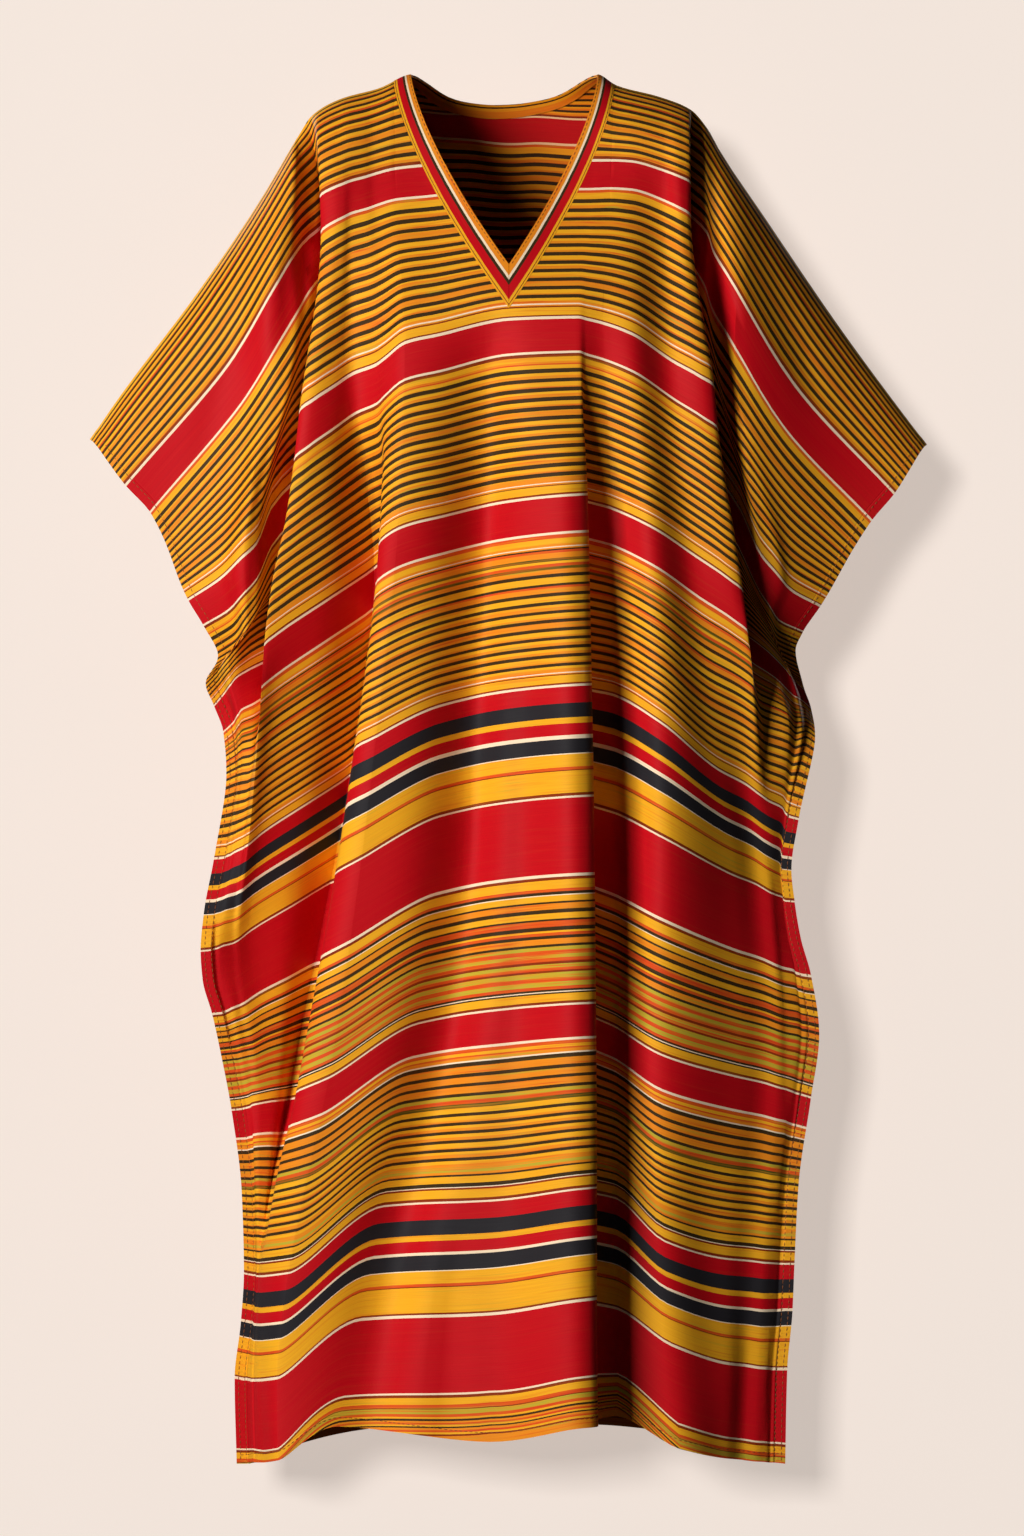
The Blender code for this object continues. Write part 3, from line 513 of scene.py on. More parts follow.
# How far the stripes wander: in millimetres, and on the band as a share of its width.
LINE_WANDER = 0.35
BAND_WANDER = 0.015

# How many patches of random tone there are to a metre of cloth, across it and down it, and how much
# detail they have.
LINE_BENDS = (7.0, 40.0, 1.0)
BAND_BENDS = (60.0, 1.0, 1.0)
LONG_STREAKS = (9.0, 330.0, 1.0)
FINE_STREAKS = (26.0, 900.0, 1.0)
SLUBS = (30.0, 600.0, 1.0)
CLOUDS = (14.0, 60.0, 1.0)
SLUB_ROUGHNESS = 0.6
COARSE_DETAIL = 2.0
FINE_DETAIL = 3.0

# The map of each piece turned into metres of cloth.
PANEL_RELIEF = (1.0, 1.0, 1.0)
BAND_RELIEF = (1.0, 0.022, 1.0)
FACING_RELIEF = (1.0, 0.017, 1.0)

# The dye: its colours by noise, how soon it is at full strength, and the tone of single threads.
DYE_COLOURS = (
    (0.30, "orange_red"), (0.42, "orange"), (0.52, "yellow"), (0.60, "orange"), (0.70, "lime"),
)
DYE_GAIN = 6.0
TONE_SPREAD = 0.22
TONE_LEAST = 0.89

# The relief: parts of its height, its roughness, and how the light takes it.
WEAVE_HEIGHT = 0.25
SLUB_HEIGHT = 0.9
CLOUD_HEIGHT = 1.2
GROOVE_HEIGHT = 2.5
ROUGHNESS_SPREAD = 0.2
ROUGHNESS_LEAST = 0.5
BUMP = {"Strength": 0.35, "Distance": 0.0003}
CLOTH_LIGHT = {"Sheen Weight": 0.012, "Sheen Roughness": 0.4, "Specular IOR Level": 0.1}

# The sewing thread: size and detail of its patches, their strength, and its roughness.
THREAD_PATCHES = (400.0, 3.0)
THREAD_PATCH_SHARE = 0.4
THREAD_ROUGHNESS = 0.6

# Node trees: the space between nodes, and the kinds of the sockets that aren't plain numbers.
NODE_SPACING = 180
SOCKET_KINDS = {"Vector": "NodeSocketVector", "Color": "NodeSocketColor"}

# Lights: name, place, target, size across in metres, watts, colour, and what they fall on.
LIGHTS = (
    ("key", (-2.38, -2.94, 0.0), (0.0, 0.0, -0.62), 1.5, 164.0, (1.0, 0.97, 0.93), "cloth"),
    ("back_left", (-2.2, 2.6, 0.8), (0.0, 0.0, -0.6), 1.2, 40.0, (1.0, 0.97, 0.94), "cloth"),
    ("back_right", (2.0, 3.0, 0.4), (0.0, 0.0, -0.7), 1.2, 20.0, (1.0, 0.97, 0.94), "cloth"),
    ("wall_light", (-1.25, -6.5, 0.25), (0.0, 0.2, -0.7), 0.8, 262.0, (1.0, 1.0, 1.0), "stage"),
)

# The room's colour, its light on the cloth and how bright it shows, and the paint of the stage.
WORLD_COLOUR = (1.0, 0.98, 0.96, 1.0)
WORLD_LIGHT = 0.03
WORLD_SEEN = 0.85
STAGE_DIFFUSE = 0.6
STAGE_GLOW = 0.632
STAGE_CLOUDS = (3.0, 4.0)
STAGE_TONES = (1.02, 0.98)
STAGE_SPECULAR = 0.05
WALL_ROUGHNESS = 0.9
FLOOR_ROUGHNESS = 0.8


def from_screen(red, green, blue):
    """Linear light from a colour as it shows on a screen, each part from 0 to 255.

    A screen's curve is a straight line near black, and above it a power of 2.4.
    """
    shown = np.array([red, green, blue]) / 255
    low = shown / 12.92
    high = ((shown + 0.055) / 1.055) ** 2.4
    return tuple(float(v) for v in np.where(shown <= 0.04045, low, high))


def colour_property(name, description, red, green, blue):
    """A colour that a user can change, given as it shows on a screen."""
    return FloatVectorProperty(
        name=name,
        description=description,
        subtype="COLOR",
        size=3,
        min=0.0,
        max=1.0,
        default=from_screen(red, green, blue),
    )


def length_property(name, description, metres):
    """A length that a user can change."""
    return FloatProperty(
        name=name,
        description=description,
        default=metres,
        min=0.0,
        unit="LENGTH",
        subtype="DISTANCE",
    )


class KaftanSizes(bpy.types.PropertyGroup):
    """Sizes of the cloth and its sewing."""

    cloth: length_property("Cloth", "Thickness of the cloth", 0.0009)
    hem: length_property("Hem", "Width of the turned edge at cuffs, sides and bottom", 0.0105)
    hem_extra: length_property("Hem thickness", "Extra thickness of the turned edge", 0.0003)
    seam_gap: length_property("Seam gap", "Gap between two pieces at a seam", 0.0003)
    stitch: length_property("Stitch", "Length of one stitch", 0.0036)
    stitch_gap: length_property("Stitch gap", "Gap between two stitches", 0.0016)
    thread: length_property("Thread", "Thickness of the sewing thread", 0.0007)
    crease: FloatProperty(
        name="Creases",
        description="Share of the full depth that the soft creases have",
        default=1.0,
        min=0.0,
        max=1.5,
        subtype="FACTOR",
    )


class KaftanColours(bpy.types.PropertyGroup):
    """Colours of the threads."""

    yellow: colour_property("Yellow", "Golden ground of the cloth", 246, 176, 34)
    orange: colour_property("Orange", "Orange ground between the lines", 238, 138, 30)
    orange_red: colour_property("Orange red", "Thin bright lines", 220, 70, 28)
    red: colour_property("Red", "Wide red bands", 196, 6, 24)
    brown_red: colour_property("Brown red", "Thin lines beside the white ones", 130, 36, 14)
    black: colour_property("Black", "Wide black bands", 40, 38, 42)
    line: colour_property("Dark line", "Narrow dark olive lines", 56, 42, 22)
    green: colour_property("Green line", "Narrow green lines", 70, 74, 24)
    lime: colour_property("Lime", "Narrow lime lines", 186, 172, 52)
    cream: colour_property("Cream", "Thin white lines", 252, 228, 196)
    thread: colour_property("Sewing thread", "Thread of the stitches", 96, 44, 16)
    wall: colour_property("Wall", "Backdrop", 245, 232, 222)


def slopes(knots, values):
    """Slopes that let a cubic run through the values without overshooting them.

    Each is the harmonic mean of the rises on its two sides, weighted by their steps, and zero where
    the values turn.
    """
    step = np.diff(knots).reshape((-1,) + (1,) * (values.ndim - 1))
    rise = np.diff(values, axis=0) / step
    before = rise[:-1]
    after = rise[1:]
    turning = before * after <= 0
    safe_before = np.where(turning, 1.0, before)
    safe_after = np.where(turning, 1.0, after)
    weight_before = 2 * step[1:] + step[:-1]
    weight_after = step[1:] + 2 * step[:-1]
    mean = (weight_before + weight_after) / (weight_before / safe_before + weight_after / safe_after)
    inner = np.where(turning, 0.0, mean)
    return np.concatenate([rise[:1], inner, rise[-1:]])


def cubic_between(knots, low, share, v0, v1, m0, m1):
    """The cubic between two knots, with values v and slopes m at its ends."""
    width = np.diff(knots)[low]
    extra = (1,) * (v0.ndim - share.ndim)
    u = share.reshape(share.shape + extra)
    width = width.reshape(width.shape + extra)
    return (
        v0 * (1 + 2 * u) * (1 - u) ** 2
        + m0 * width * u * (1 - u) ** 2
        + v1 * u * u * (3 - 2 * u)
        + m1 * width * u * u * (u - 1)
    )


def place_between(knots, at):
    """The knot before each place, and the share of the way from it to the next."""
    low = np.clip(np.searchsorted(knots, at, side="right") - 1, 0, len(knots) - 2)
    share = (at - knots[low]) / (knots[low + 1] - knots[low])
    return low, share


def smooth(knots, values, at):
    """Values given at the knots, read at other places: (K, ...) and (N,) give (N, ...)."""
    knots = np.asarray(knots, float)
    values = np.asarray(values, float)
    at = np.asarray(at, float)
    low, share = place_between(knots, at)
    slope = slopes(knots, values)
    return cubic_between(knots, low, share, values[low], values[low + 1], slope[low], slope[low + 1])


def smooth_each(knots, values, at):
    """As smooth, where each place has values of its own: (K, N, ...) and (N,) give (N, ...)."""
    low, share = place_between(knots, at)
    own = np.arange(len(at))
    slope = slopes(knots, values)
    ends = values[low, own], values[low + 1, own]
    return cubic_between(knots, low, share, *ends, slope[low, own], slope[low + 1, own])


def split(rows):
    """The first column of a table, and the rest of it."""
    table = np.array(rows, float)
    return table[:, 0], table[:, 1:]


def shoulder_height(across):
    """The height of the shoulder line: a curve through its points."""
    knots, height = split(SHOULDER_LINE)
    return smooth(knots, height[:, 0], across)


def shoulder_depth(across):
    """The depth of the shoulder line, which falls evenly to zero from the neck to the arms."""
    return SHOULDER_DEPTH * (1 - np.clip(np.abs(across) / SHOULDER_FLAT_HALF, 0, 1))


def first_row(across):
    """Points of the shoulder line, as across, depth and height."""
    return np.stack([across, shoulder_depth(across), shoulder_height(across)], axis=-1)


def with_shoulder_roll(flat, points):
    """Adds the rows that carry the cloth round over the shoulder line. points is (rows, columns, 3)."""
    start = points[0]
    end = points[1]
    rows = [start]
    places = [flat[0]]
    for share, across, drop, depth in SHOULDER_ROLL:
        rows.append(start + (end - start) * np.array([across, depth, drop]))
        places.append(flat[0] + (flat[1] - flat[0]) * share)
    return np.concatenate([places, flat[1:]]), np.concatenate([np.array(rows), points[1:]])


def main_rows():
    """The folds of the front at each stripe of the tables: (rows, folds, 3) as across, depth, height."""
    flat, across = split(ACROSS)
    height = split(HEIGHT)[1]
    depth = split(DEPTH)[1]
    points = np.empty(across.shape + (3,))
    points[0] = first_row(across[0])
    points[1:, :, 0] = across[1:]
    points[1:, :, 1] = depth
    points[1:, :, 2] = height
    return with_shoulder_roll(flat, points)


def with_edge_points(flat, points):
    """Adds the rows of EDGES, which move the outer folds and leave the others as they were."""
    edge_flat, edge = split(EDGES)
    added = smooth(flat, points, edge_flat)
    for side, cuff in (("l", 0), ("r", -1)):
        target = edge[:, :2] if side == "l" else edge[:, 2:]
        shift = target - added[:, cuff][:, [0, 2]]
        for name, share in EDGE_SHARES:
            fold = FOLDS.index(f"{name}_{side}")
            added[:, fold, 0] += share * shift[:, 0]
            added[:, fold, 2] += share * shift[:, 1]
    order = np.argsort(np.concatenate([flat, edge_flat]))
    return np.concatenate([flat, edge_flat])[order], np.concatenate([points, added])[order]


def between(first, second, share):
    """The value at a share of the way from the first to the second."""
    return first + (second - first) * share


def crest_inset(room):
    """How far in from its edge a crest lies, less where the fold leaves it little room."""
    return np.minimum(CREST_INSET, CREST_MOST_SHARE * room)


def fullness(hang):
    """How full a fold's crest is: from 0 where the fold is open to 1 where it hangs well over."""
    return np.clip(hang / CREST_FULL_AT_HANG, 0, 1)


class Folds:
    """The folds of the front by name, with those that the cloth hides behind the others."""

    def __init__(self, valley):
        self.flat, points = with_edge_points(*main_rows())
        self.named = {name: points[:, i] for i, name in enumerate(FOLDS)}
        self.hem = dict(zip(FOLDS, HEM_CUT))
        self.hang = self.columns(HANGS, OVERHANG)
        self.valley = self.columns(VALLEY_SIDES, valley)
        self.forward = self.columns(("l", "r"), SEAM_FORWARD)
        self.add_valleys()
        self.add_step()
        self.add_centre()

    def columns(self, names, rows):
        """The columns of a table by name, each a curve read at the folds' own rows."""
        flat, values = split(rows)
        return dict(zip(names, smooth(flat, values, self.flat).T))

    def outer_line(self, name, middle_depth=None):
        """One fold beside a side seam, moved forward with it. On the back it is mirrored first."""
        line = self.named[name].copy()
        if middle_depth is not None:
            line[:, 1] = 2 * middle_depth - line[:, 1]
            line[0] = self.named[name][0]
        part, side = name.rsplit("_", 1)
        line[:, 1] -= FORWARD_SHARES[part] * self.forward[side]
        return line

    def add(self, name, beside, other, share, across=None, depth=None):
        """A new fold line: its height lies between two others, its place is given or between too."""
        line = between(self.named[beside], self.named[other], share)
        if across is not None:
            line[:, 0] = across
        if depth is not None:
            line[:, 1] = depth
        self.named[name] = line
        self.hem[name] = between(self.hem[beside], self.hem[other], share)

    def draw_even(self, name, beside, other, share):
        """Sets a fold line's height by its own share of the way at each row."""
        start = self.named[beside][:, 2]
        self.named[name][:, 2] = between(start, self.named[other][:, 2], share)

    def add_valleys(self):
        """The folds between sleeve and body: out is +1 where the body lies on the +X side of them."""
        for side, out, beside in (("l", 1, "trough_l"), ("r", -1, "dip_r")):
            seam = f"seam_{side}"
            tuck = f"tuck_{side}"
            ridge = f"ridge_{side}"
            sleeve = f"sleeve_{side}"
            body = f"body_{side}"
            tuck_line = self.named[tuck]
            ridge_line = self.named[ridge]
            room = np.abs(tuck_line[:, 0] - self.named[seam][:, 0])
            inset = crest_inset(room)
            depth = tuck_line[:, 1] - CREST_RISE * fullness(self.hang[sleeve])
            self.add(f"lip_{side}", tuck, seam, LIP_SHARE, tuck_line[:, 0] - out * inset, depth)
            self.draw_even(f"lip_{side}", tuck, seam, inset / room)
            across = tuck_line[:, 0] - out * self.hang[sleeve]
            self.add(f"vale_in_{side}", tuck, ridge, VALE_IN_SHARE, across, self.valley[sleeve])
            across = ridge_line[:, 0] + out * self.hang[body]
            self.add(f"vale_out_{side}", tuck, ridge, VALE_OUT_SHARE, across, self.valley[body])
            room = np.abs(self.named[beside][:, 0] - ridge_line[:, 0])
            inset = crest_inset(room)
            across = ridge_line[:, 0] + out * inset
            depth = between(ridge_line[:, 1], self.named[beside][:, 1], BROW_DEPTH_SHARE)
            depth = depth - CREST_RISE * fullness(self.hang[body])
            self.add(f"brow_{side}", ridge, beside, BROW_SHARE, across, depth)
            self.draw_even(f"brow_{side}", ridge, beside, BROW_STEEPER * inset / room)

    def add_step(self):
        """The cloth under the step's edge, and the slope from the ridge beside it to the trough."""
        across = self.named["step_l"][:, 0] + self.hang["step"]
        self.add("under_l", "step_l", "trough_l", STEP_UNDER_SHARE, across)
        brow = self.named["brow_l"]
        trough = self.named["trough_l"]
        across = between(brow[:, 0], trough[:, 0], SLOPE_SHARE)
        depth = between(brow[:, 1], trough[:, 1], SLOPE_DEPTH_SHARE)
        self.add("slope_l", "brow_l", "trough_l", SLOPE_SHARE, across, depth)

    def add_centre(self):
        """The rounded crest beside the centre fold's edge, and the cloth that the edge hangs over."""
        edge = self.named["edge_c"]
        hang = self.hang["centre"]
        across = edge[:, 0] - CENTRE_CREST_INSET
        depth = edge[:, 1] - CENTRE_CREST_RISE * fullness(hang)
        self.add("crest_c", "edge_c", "middle", CENTRE_CREST_SHARE, across, depth)
        depth = between(edge[:, 1], self.named["dip_c"][:, 1], CENTRE_UNDER_DEPTH_SHARE)
        self.add("under_c", "edge_c", "dip_c", CENTRE_UNDER_SHARE, edge[:, 0] - hang, depth)


OUTER_LEFT = ("cuff_l", "seam_l", "lip_l", "tuck_l", "vale_in_l", "vale_out_l", "ridge_l", "brow_l")
OUTER_RIGHT = ("brow_r", "ridge_r", "vale_out_r", "vale_in_r", "tuck_r", "lip_r", "seam_r", "cuff_r")
FRONT_INNER = (
    "slope_l", "trough_l", "under_l", "step_l", "crest_l", "dip_l", "middle", "crest_c", "edge_c",
    "under_c", "dip_c", "crest_r", "dip_r",
)


def soft_step(value):
    """0 below 0, 1 above 1, and the cubic 3v^2 - 2v^3 between."""
    value = np.clip(value, 0, 1)
    return value * value * (3 - 2 * value)


def crease_depth(creases, points, strength):
    """How far the creases push points back: over each, a bell across it, as deep as its path says.

    The place across and the depth are curves through the path's own, by height. A bell is
    exp(-(distance / width)^2), with one width on each side.
    """
    depth = np.zeros(len(points))
    for _, left, right, path in creases:
        down, rest = split([(-height, across, deep) for across, height, deep in path])
        at = np.clip(-points[:, 2], down[0], down[-1])
        curve = smooth(down, rest, at)
        away = points[:, 0] - curve[:, 0]
        depth += curve[:, 1] * np.exp(-((away / np.where(away < 0, left, right)) ** 2))
    return depth * strength


class Sheet:
    """One panel: fold lines side by side, each known at every row."""

    def __init__(self, flat, lines, hem, side, strength):
        self.hem = np.array(hem, float)
        self.creases = FRONT_CREASES if side == "front" else BACK_CREASES
        self.strength = strength
        self.flat = flat
        self.lines = np.stack(lines, axis=1)
        self.side = side
        chord = np.linalg.norm(np.diff(self.lines, axis=1), axis=2).mean(axis=0)
        self.knots = np.concatenate([[0.0], np.cumsum(chord)])
        self.width = self.knots[-1]

    def seen(self, across, flat):
        """Points as seen from the front, at places across (from one cuff edge) and flat distances."""
        lines = smooth(self.flat, self.lines, flat)
        points = smooth_each(self.knots, np.moveaxis(lines, 1, 0), across)
        top = smooth_each(self.knots, np.repeat(self.lines[0][:, None], len(across), axis=1), across)
        settle = np.clip(1 - flat / FIRST_STRIPE, 0, 1) ** 2
        points[:, 2] += settle * (shoulder_height(top[:, 0]) - top[:, 2])
        points[:, 1] += settle * (shoulder_depth(top[:, 0]) - top[:, 1])
        toward = 1.0 if self.side == "front" else -1.0
        shown = np.clip(flat / FIRST_STRIPE, 0, 1)
        points[:, 1] += toward * shown * crease_depth(self.creases, points, self.strength)
        return points

    def true_flat(self, across, flat):
        """The cloth's own distance below the shoulder, which stretches a little near the hem."""
        hem = np.interp(across, self.knots, self.hem)
        below = np.clip((flat - LAST_STRIPE) / (HEM_FLAT - LAST_STRIPE), 0, 1)
        return flat + below * (hem - HEM_FLAT)

    def points(self, across, flat):
        """The same points in metres, where they really are."""
        return seen_to_real(self.seen(across, flat))

    def neck_top(self, across):
        """The flat distance at which each column starts: zero on the shoulder, more at the neck."""
        low = np.zeros(len(across))
        high = np.full(len(across), NECK_SEARCH_DEPTH)
        for _ in range(NECK_HALVINGS):
            middle = (low + high) / 2
            cut = self.inside_neck(across, middle)
            low = np.where(cut, middle, low)
            high = np.where(cut, high, middle)
        return np.where(high < NECK_LEAST_DEPTH, 0.0, high)

    def inside_neck(self, across, flat):
        """Whether the neck is cut away there: within the V in front, above a round curve behind."""
        if self.side == "front":
            seen = self.seen(across, flat)
            share = np.clip((V_OUTER_TOP - seen[:, 2]) / V_OUTER_DEPTH, 0, 1)
            half = V_OUTER_HALF_WIDTH * (1 - share**V_BOW) - NECK_EDGE_SLACK
            return np.abs(seen[:, 0] - neck_middle(share)) < half
        top = self.seen(across, np.zeros(len(across)))
        away = np.abs(top[:, 0] - NECK_MIDDLE_TOP) / V_INNER_HALF_WIDTH
        return flat < BACK_NECK_DROP * (1 - np.clip(away, 0, 1) ** BACK_NECK_ROUND)


def neck_middle(share):
    """The middle of the neck, which leans a little from its top to the tip of the V."""
    return between(NECK_MIDDLE_TOP, NECK_MIDDLE_TIP, share)


def seen_to_real(points):
    """Moves points along the line of sight to their depth, and from millimetres to metres."""
    scale = (VIEW_DISTANCE + points[..., 1]) / VIEW_DISTANCE
    real = points.copy()
    real[..., 0] = points[..., 0] * scale
    real[..., 2] = VIEW_HEIGHT + (points[..., 2] - VIEW_HEIGHT) * scale
    return real / 1000


def front_sheet(folds, strength):
    """The front panel's sheet: all the folds in order from one cuff to the other."""
    names = OUTER_LEFT + FRONT_INNER + OUTER_RIGHT
    outer = OUTER_LEFT + OUTER_RIGHT
    lines = [folds.outer_line(name) if name in outer else folds.named[name] for name in names]
    return Sheet(folds.flat, lines, [folds.hem[name] for name in names], "front", strength)


def back_inner(folds, row, ridges):
    """One fold of the back: a straight run down the cloth, its depth eased through three sizes."""
    _, across_top, across_hem, depth_top, depth_arm, depth_hem = row
    flat = folds.flat
    run = np.clip((flat - FIRST_STRIPE) / (HEM_FLAT - FIRST_STRIPE), 0, 1)
    across = between(across_top, across_hem, run)
    knots = [0, FIRST_STRIPE, UNDERARM, HEM_FLAT]
    depth = smooth(knots, [SHOULDER_DEPTH, depth_top, depth_arm, depth_hem], flat)
    lift = BACK_LIFT * between(1.0, BACK_LIFT_LEFT_AT_HEM, flat / HEM_FLAT)
    centre = -(flat - lift)
    ridge = ridges[0] if across_top < 0 else ridges[1]
    power = between(BACK_DROOP, BACK_DROOP_AT_HEM, (flat / HEM_FLAT) ** BACK_DROOP_EASE)
    share = np.clip(np.abs(across / ridge[:, 0]), 0, 1) ** power
    line = np.stack([across, depth, between(centre, ridge[:, 2], share)], axis=1)
    rolled = flat < FIRST_STRIPE
    top = first_row(np.array([float(across_top)]))[0]
    end = line[np.argmin(np.abs(flat - FIRST_STRIPE))]
    shares = np.array([(0.0, 0.0, 0.0)] + [(a, d, z) for _, a, z, d in SHOULDER_ROLL])
    line[rolled] = top + (end - top) * shares
    return line


def back_sheet(folds, strength):
    """The back panel's sheet. Its outer folds are those of the front, mirrored about the side seam."""
    flat = folds.flat
    joined = np.clip((flat - FIRST_STRIPE) / (UNDERARM - FIRST_STRIPE), 0, 1)
    seam = np.where(flat >= UNDERARM, 1.0, 0.0) * joined
    left = folds.named["seam_l"][:, 1] * seam
    right = folds.named["seam_r"][:, 1] * seam
    ridges = (folds.named["ridge_l"], folds.named["ridge_r"])
    lines = [folds.outer_line(name, left) for name in OUTER_LEFT]
    lines += [back_inner(folds, row, ridges) for row in BACK_FOLDS]
    lines += [folds.outer_line(name, right) for name in OUTER_RIGHT]
    edge = folds.hem["cuff_l"]
    middle = folds.hem["middle"]
    hem = [edge] * len(OUTER_LEFT) + [middle] * len(BACK_FOLDS) + [edge] * len(OUTER_RIGHT)
    return Sheet(flat, lines, hem, "back", strength)


def columns_of(sheet):
    """Places across: every fold line and both corners of the neck, with short steps between them.

    The steps start short at the cuff edges, for the turned edge, and beside the neck's corners.
    """
    neck = neck_edges(sheet)
    apart = [knot for knot in sheet.knots if min(abs(knot - edge) for edge in neck) > CORNER_CLEARANCE]
    stops = sorted(apart + list(neck))
    eased = (np.arange(EDGE_COLUMNS) / EDGE_COLUMNS) ** EDGE_EASE
    places = []
    for start, end in zip(stops[:-1], stops[1:]):
        if start in (stops[0], neck[0]):
            shares = eased
        elif end in (stops[-1], neck[1]):
            shares = np.append(0.0, (1 - eased[1:])[::-1])
        else:
            count = max(LEAST_COLUMNS, round((end - start) / COLUMN_STEP))
            shares = np.arange(count) / count
        places += list(start + (end - start) * shares)
    return np.array(places + [sheet.width])


def row_places():
    """Flat distances of the rows: short steps over the shoulder, even ones below, and the hem's own."""
    roll = np.linspace(0, FIRST_STRIPE, ROLL_ROWS, endpoint=False)
    body = np.linspace(FIRST_STRIPE, HEM_ROWS[0], BODY_ROWS, endpoint=False)
    return np.concatenate([roll, body, HEM_ROWS])


def neck_edges(sheet):
    """The places across where the neck opening starts and ends on the shoulder line."""
    half = V_OUTER_HALF_WIDTH if sheet.side == "front" else V_INNER_HALF_WIDTH
    across = np.linspace(0, sheet.width, NECK_TOP_PLACES)
    top = sheet.seen(across, np.zeros(len(across)))[:, 0]
    return tuple(float(np.interp(NECK_MIDDLE_TOP + toward * half, top, across)) for toward in (-1, 1))


def unit(vectors):
    """Each vector divided by its own length."""
    return vectors / np.linalg.norm(vectors, axis=-1, keepdims=True)


def grid_normals(points, outward):
    """Unit normals of a grid of points: the cross product of its two directions, facing outward."""
    down = np.gradient(points, axis=0)
    along = np.gradient(points, axis=1)
    normal = np.cross(along, down)
    if (normal @ np.array(outward, float)).sum() < 0:
        normal = -normal
    return unit(normal)


def row_runs(points):
    """Metres along each row of a grid from its first point."""
    steps = np.linalg.norm(np.diff(points, axis=1), axis=2)
    return np.concatenate([np.zeros((len(points), 1)), np.cumsum(steps, axis=1)], axis=1)


def distance_to_edge(points):
    """Metres along the cloth from each point of a grid to the nearest side edge or to the hem."""
    from_left = row_runs(points)
    from_right = from_left[:, -1:] - from_left
    from_hem = row_runs(points[::-1].transpose(1, 0, 2)).T[::-1]
    return np.minimum(np.minimum(from_left, from_right), from_hem)


def level_at_neck(across, flat):
    """How far the cloth is drawn up beside the back of the neck, so that its stripes lie level there.

    It grows as a power of the distance from the middle of the neck, a little more on the left, and
    fades over the shoulders and down the back.
    """
    away = np.abs(1000 * across - NECK_MIDDLE_TOP)
    drawn = LEVEL_RISE * (np.minimum(away, LEVEL_HALF) / LEVEL_HALF) ** LEVEL_POWER
    drawn -= LEVEL_TILT * np.clip((1000 * across - NECK_MIDDLE_TOP) / LEVEL_HALF, -1, 1)
    beside = 1 - soft_step((away - LEVEL_HALF) / (LEVEL_END - LEVEL_HALF))
    below = 1 - soft_step((flat - LEVEL_FLAT) / (LEVEL_FLAT_END - LEVEL_FLAT))
    return drawn * beside * below


class Panel:
    """The grid of one panel: places across, flat distances, points, normals and edge distances."""

    def __init__(self, sheet, sizes):
        self.sheet = sheet
        self.sizes = sizes
        self.outward = (0, -1, 0) if sheet.side == "front" else (0, 1, 0)
        self.across = columns_of(sheet)
        self.start = sheet.neck_top(self.across)
        share = row_places() / HEM_FLAT
        self.flat = self.start[None] + (HEM_FLAT - self.start)[None] * share[:, None]
        wide = np.broadcast_to(self.across, self.flat.shape).ravel()
        self.points = sheet.points(wide, self.flat.ravel()).reshape(self.flat.shape + (3,))
        self.normals = grid_normals(self.points, self.outward)
        self.true_flat = sheet.true_flat(wide, self.flat.ravel()).reshape(self.flat.shape)
        if sheet.side == "back":
            self.true_flat += level_at_neck(self.points[..., 0], self.flat)
        self.edge = distance_to_edge(self.points)
        self.settle()

    def settle(self):
        """Parts the two panels by the seam gap: at the shoulder line, and along the side seams."""
        toward = self.outward[1]
        on_shoulder = self.flat[0] < NEAR_ZERO
        self.points[0, on_shoulder, 1] += toward * self.sizes.seam_gap / 2
        self.normals[0, on_shoulder, 1] = 0
        self.normals[0] = unit(self.normals[0])
        thick = self.sizes.cloth + 2 * self.sizes.hem_extra
        apart = (thick + self.sizes.seam_gap) / 2
        joined = self.joined()
        self.points[..., 1] += toward * apart * joined
        blend = joined[..., None]
        self.normals = unit(self.normals * (1 - blend) + np.array(self.outward, float) * blend)

    def joined(self):
        """1 on the side seams, 0 away from them, from below the cuff to the hem."""
        knots = self.sheet.knots
        past = np.interp(self.across, [knots[1], knots[2], knots[-3], knots[-2]], [1, 0, 0, 1])
        return soft_step((self.flat - SEAM_START) / (UNDERARM - SEAM_START)) * past[None, :]

    def uv(self):
        """The cloth's map in metres: the place across and the cloth's own flat distance."""
        across = np.broadcast_to(self.across, self.flat.shape)
        return np.stack([across, self.true_flat], axis=-1) / 1000


def wall_faces(rows, columns, turned):
    """Quads of a closed wall over a grid: its outer side, its inner side and its rim."""
    index = np.arange(rows * columns).reshape(rows, columns)
    outer = np.stack([index[:-1, :-1], index[1:, :-1], index[1:, 1:], index[:-1, 1:]], axis=-1)
    outer = outer.reshape(-1, 4)
    ring = np.concatenate([index[:, 0], index[-1, 1:], index[-2::-1, -1], index[0, -2:0:-1]])
    after = np.roll(ring, -1)
    count = rows * columns
    rim = np.stack([after, ring, ring + count, after + count], axis=-1)
    faces = np.concatenate([outer, outer[:, ::-1] + count, rim])
    return faces[:, ::-1] if turned else faces


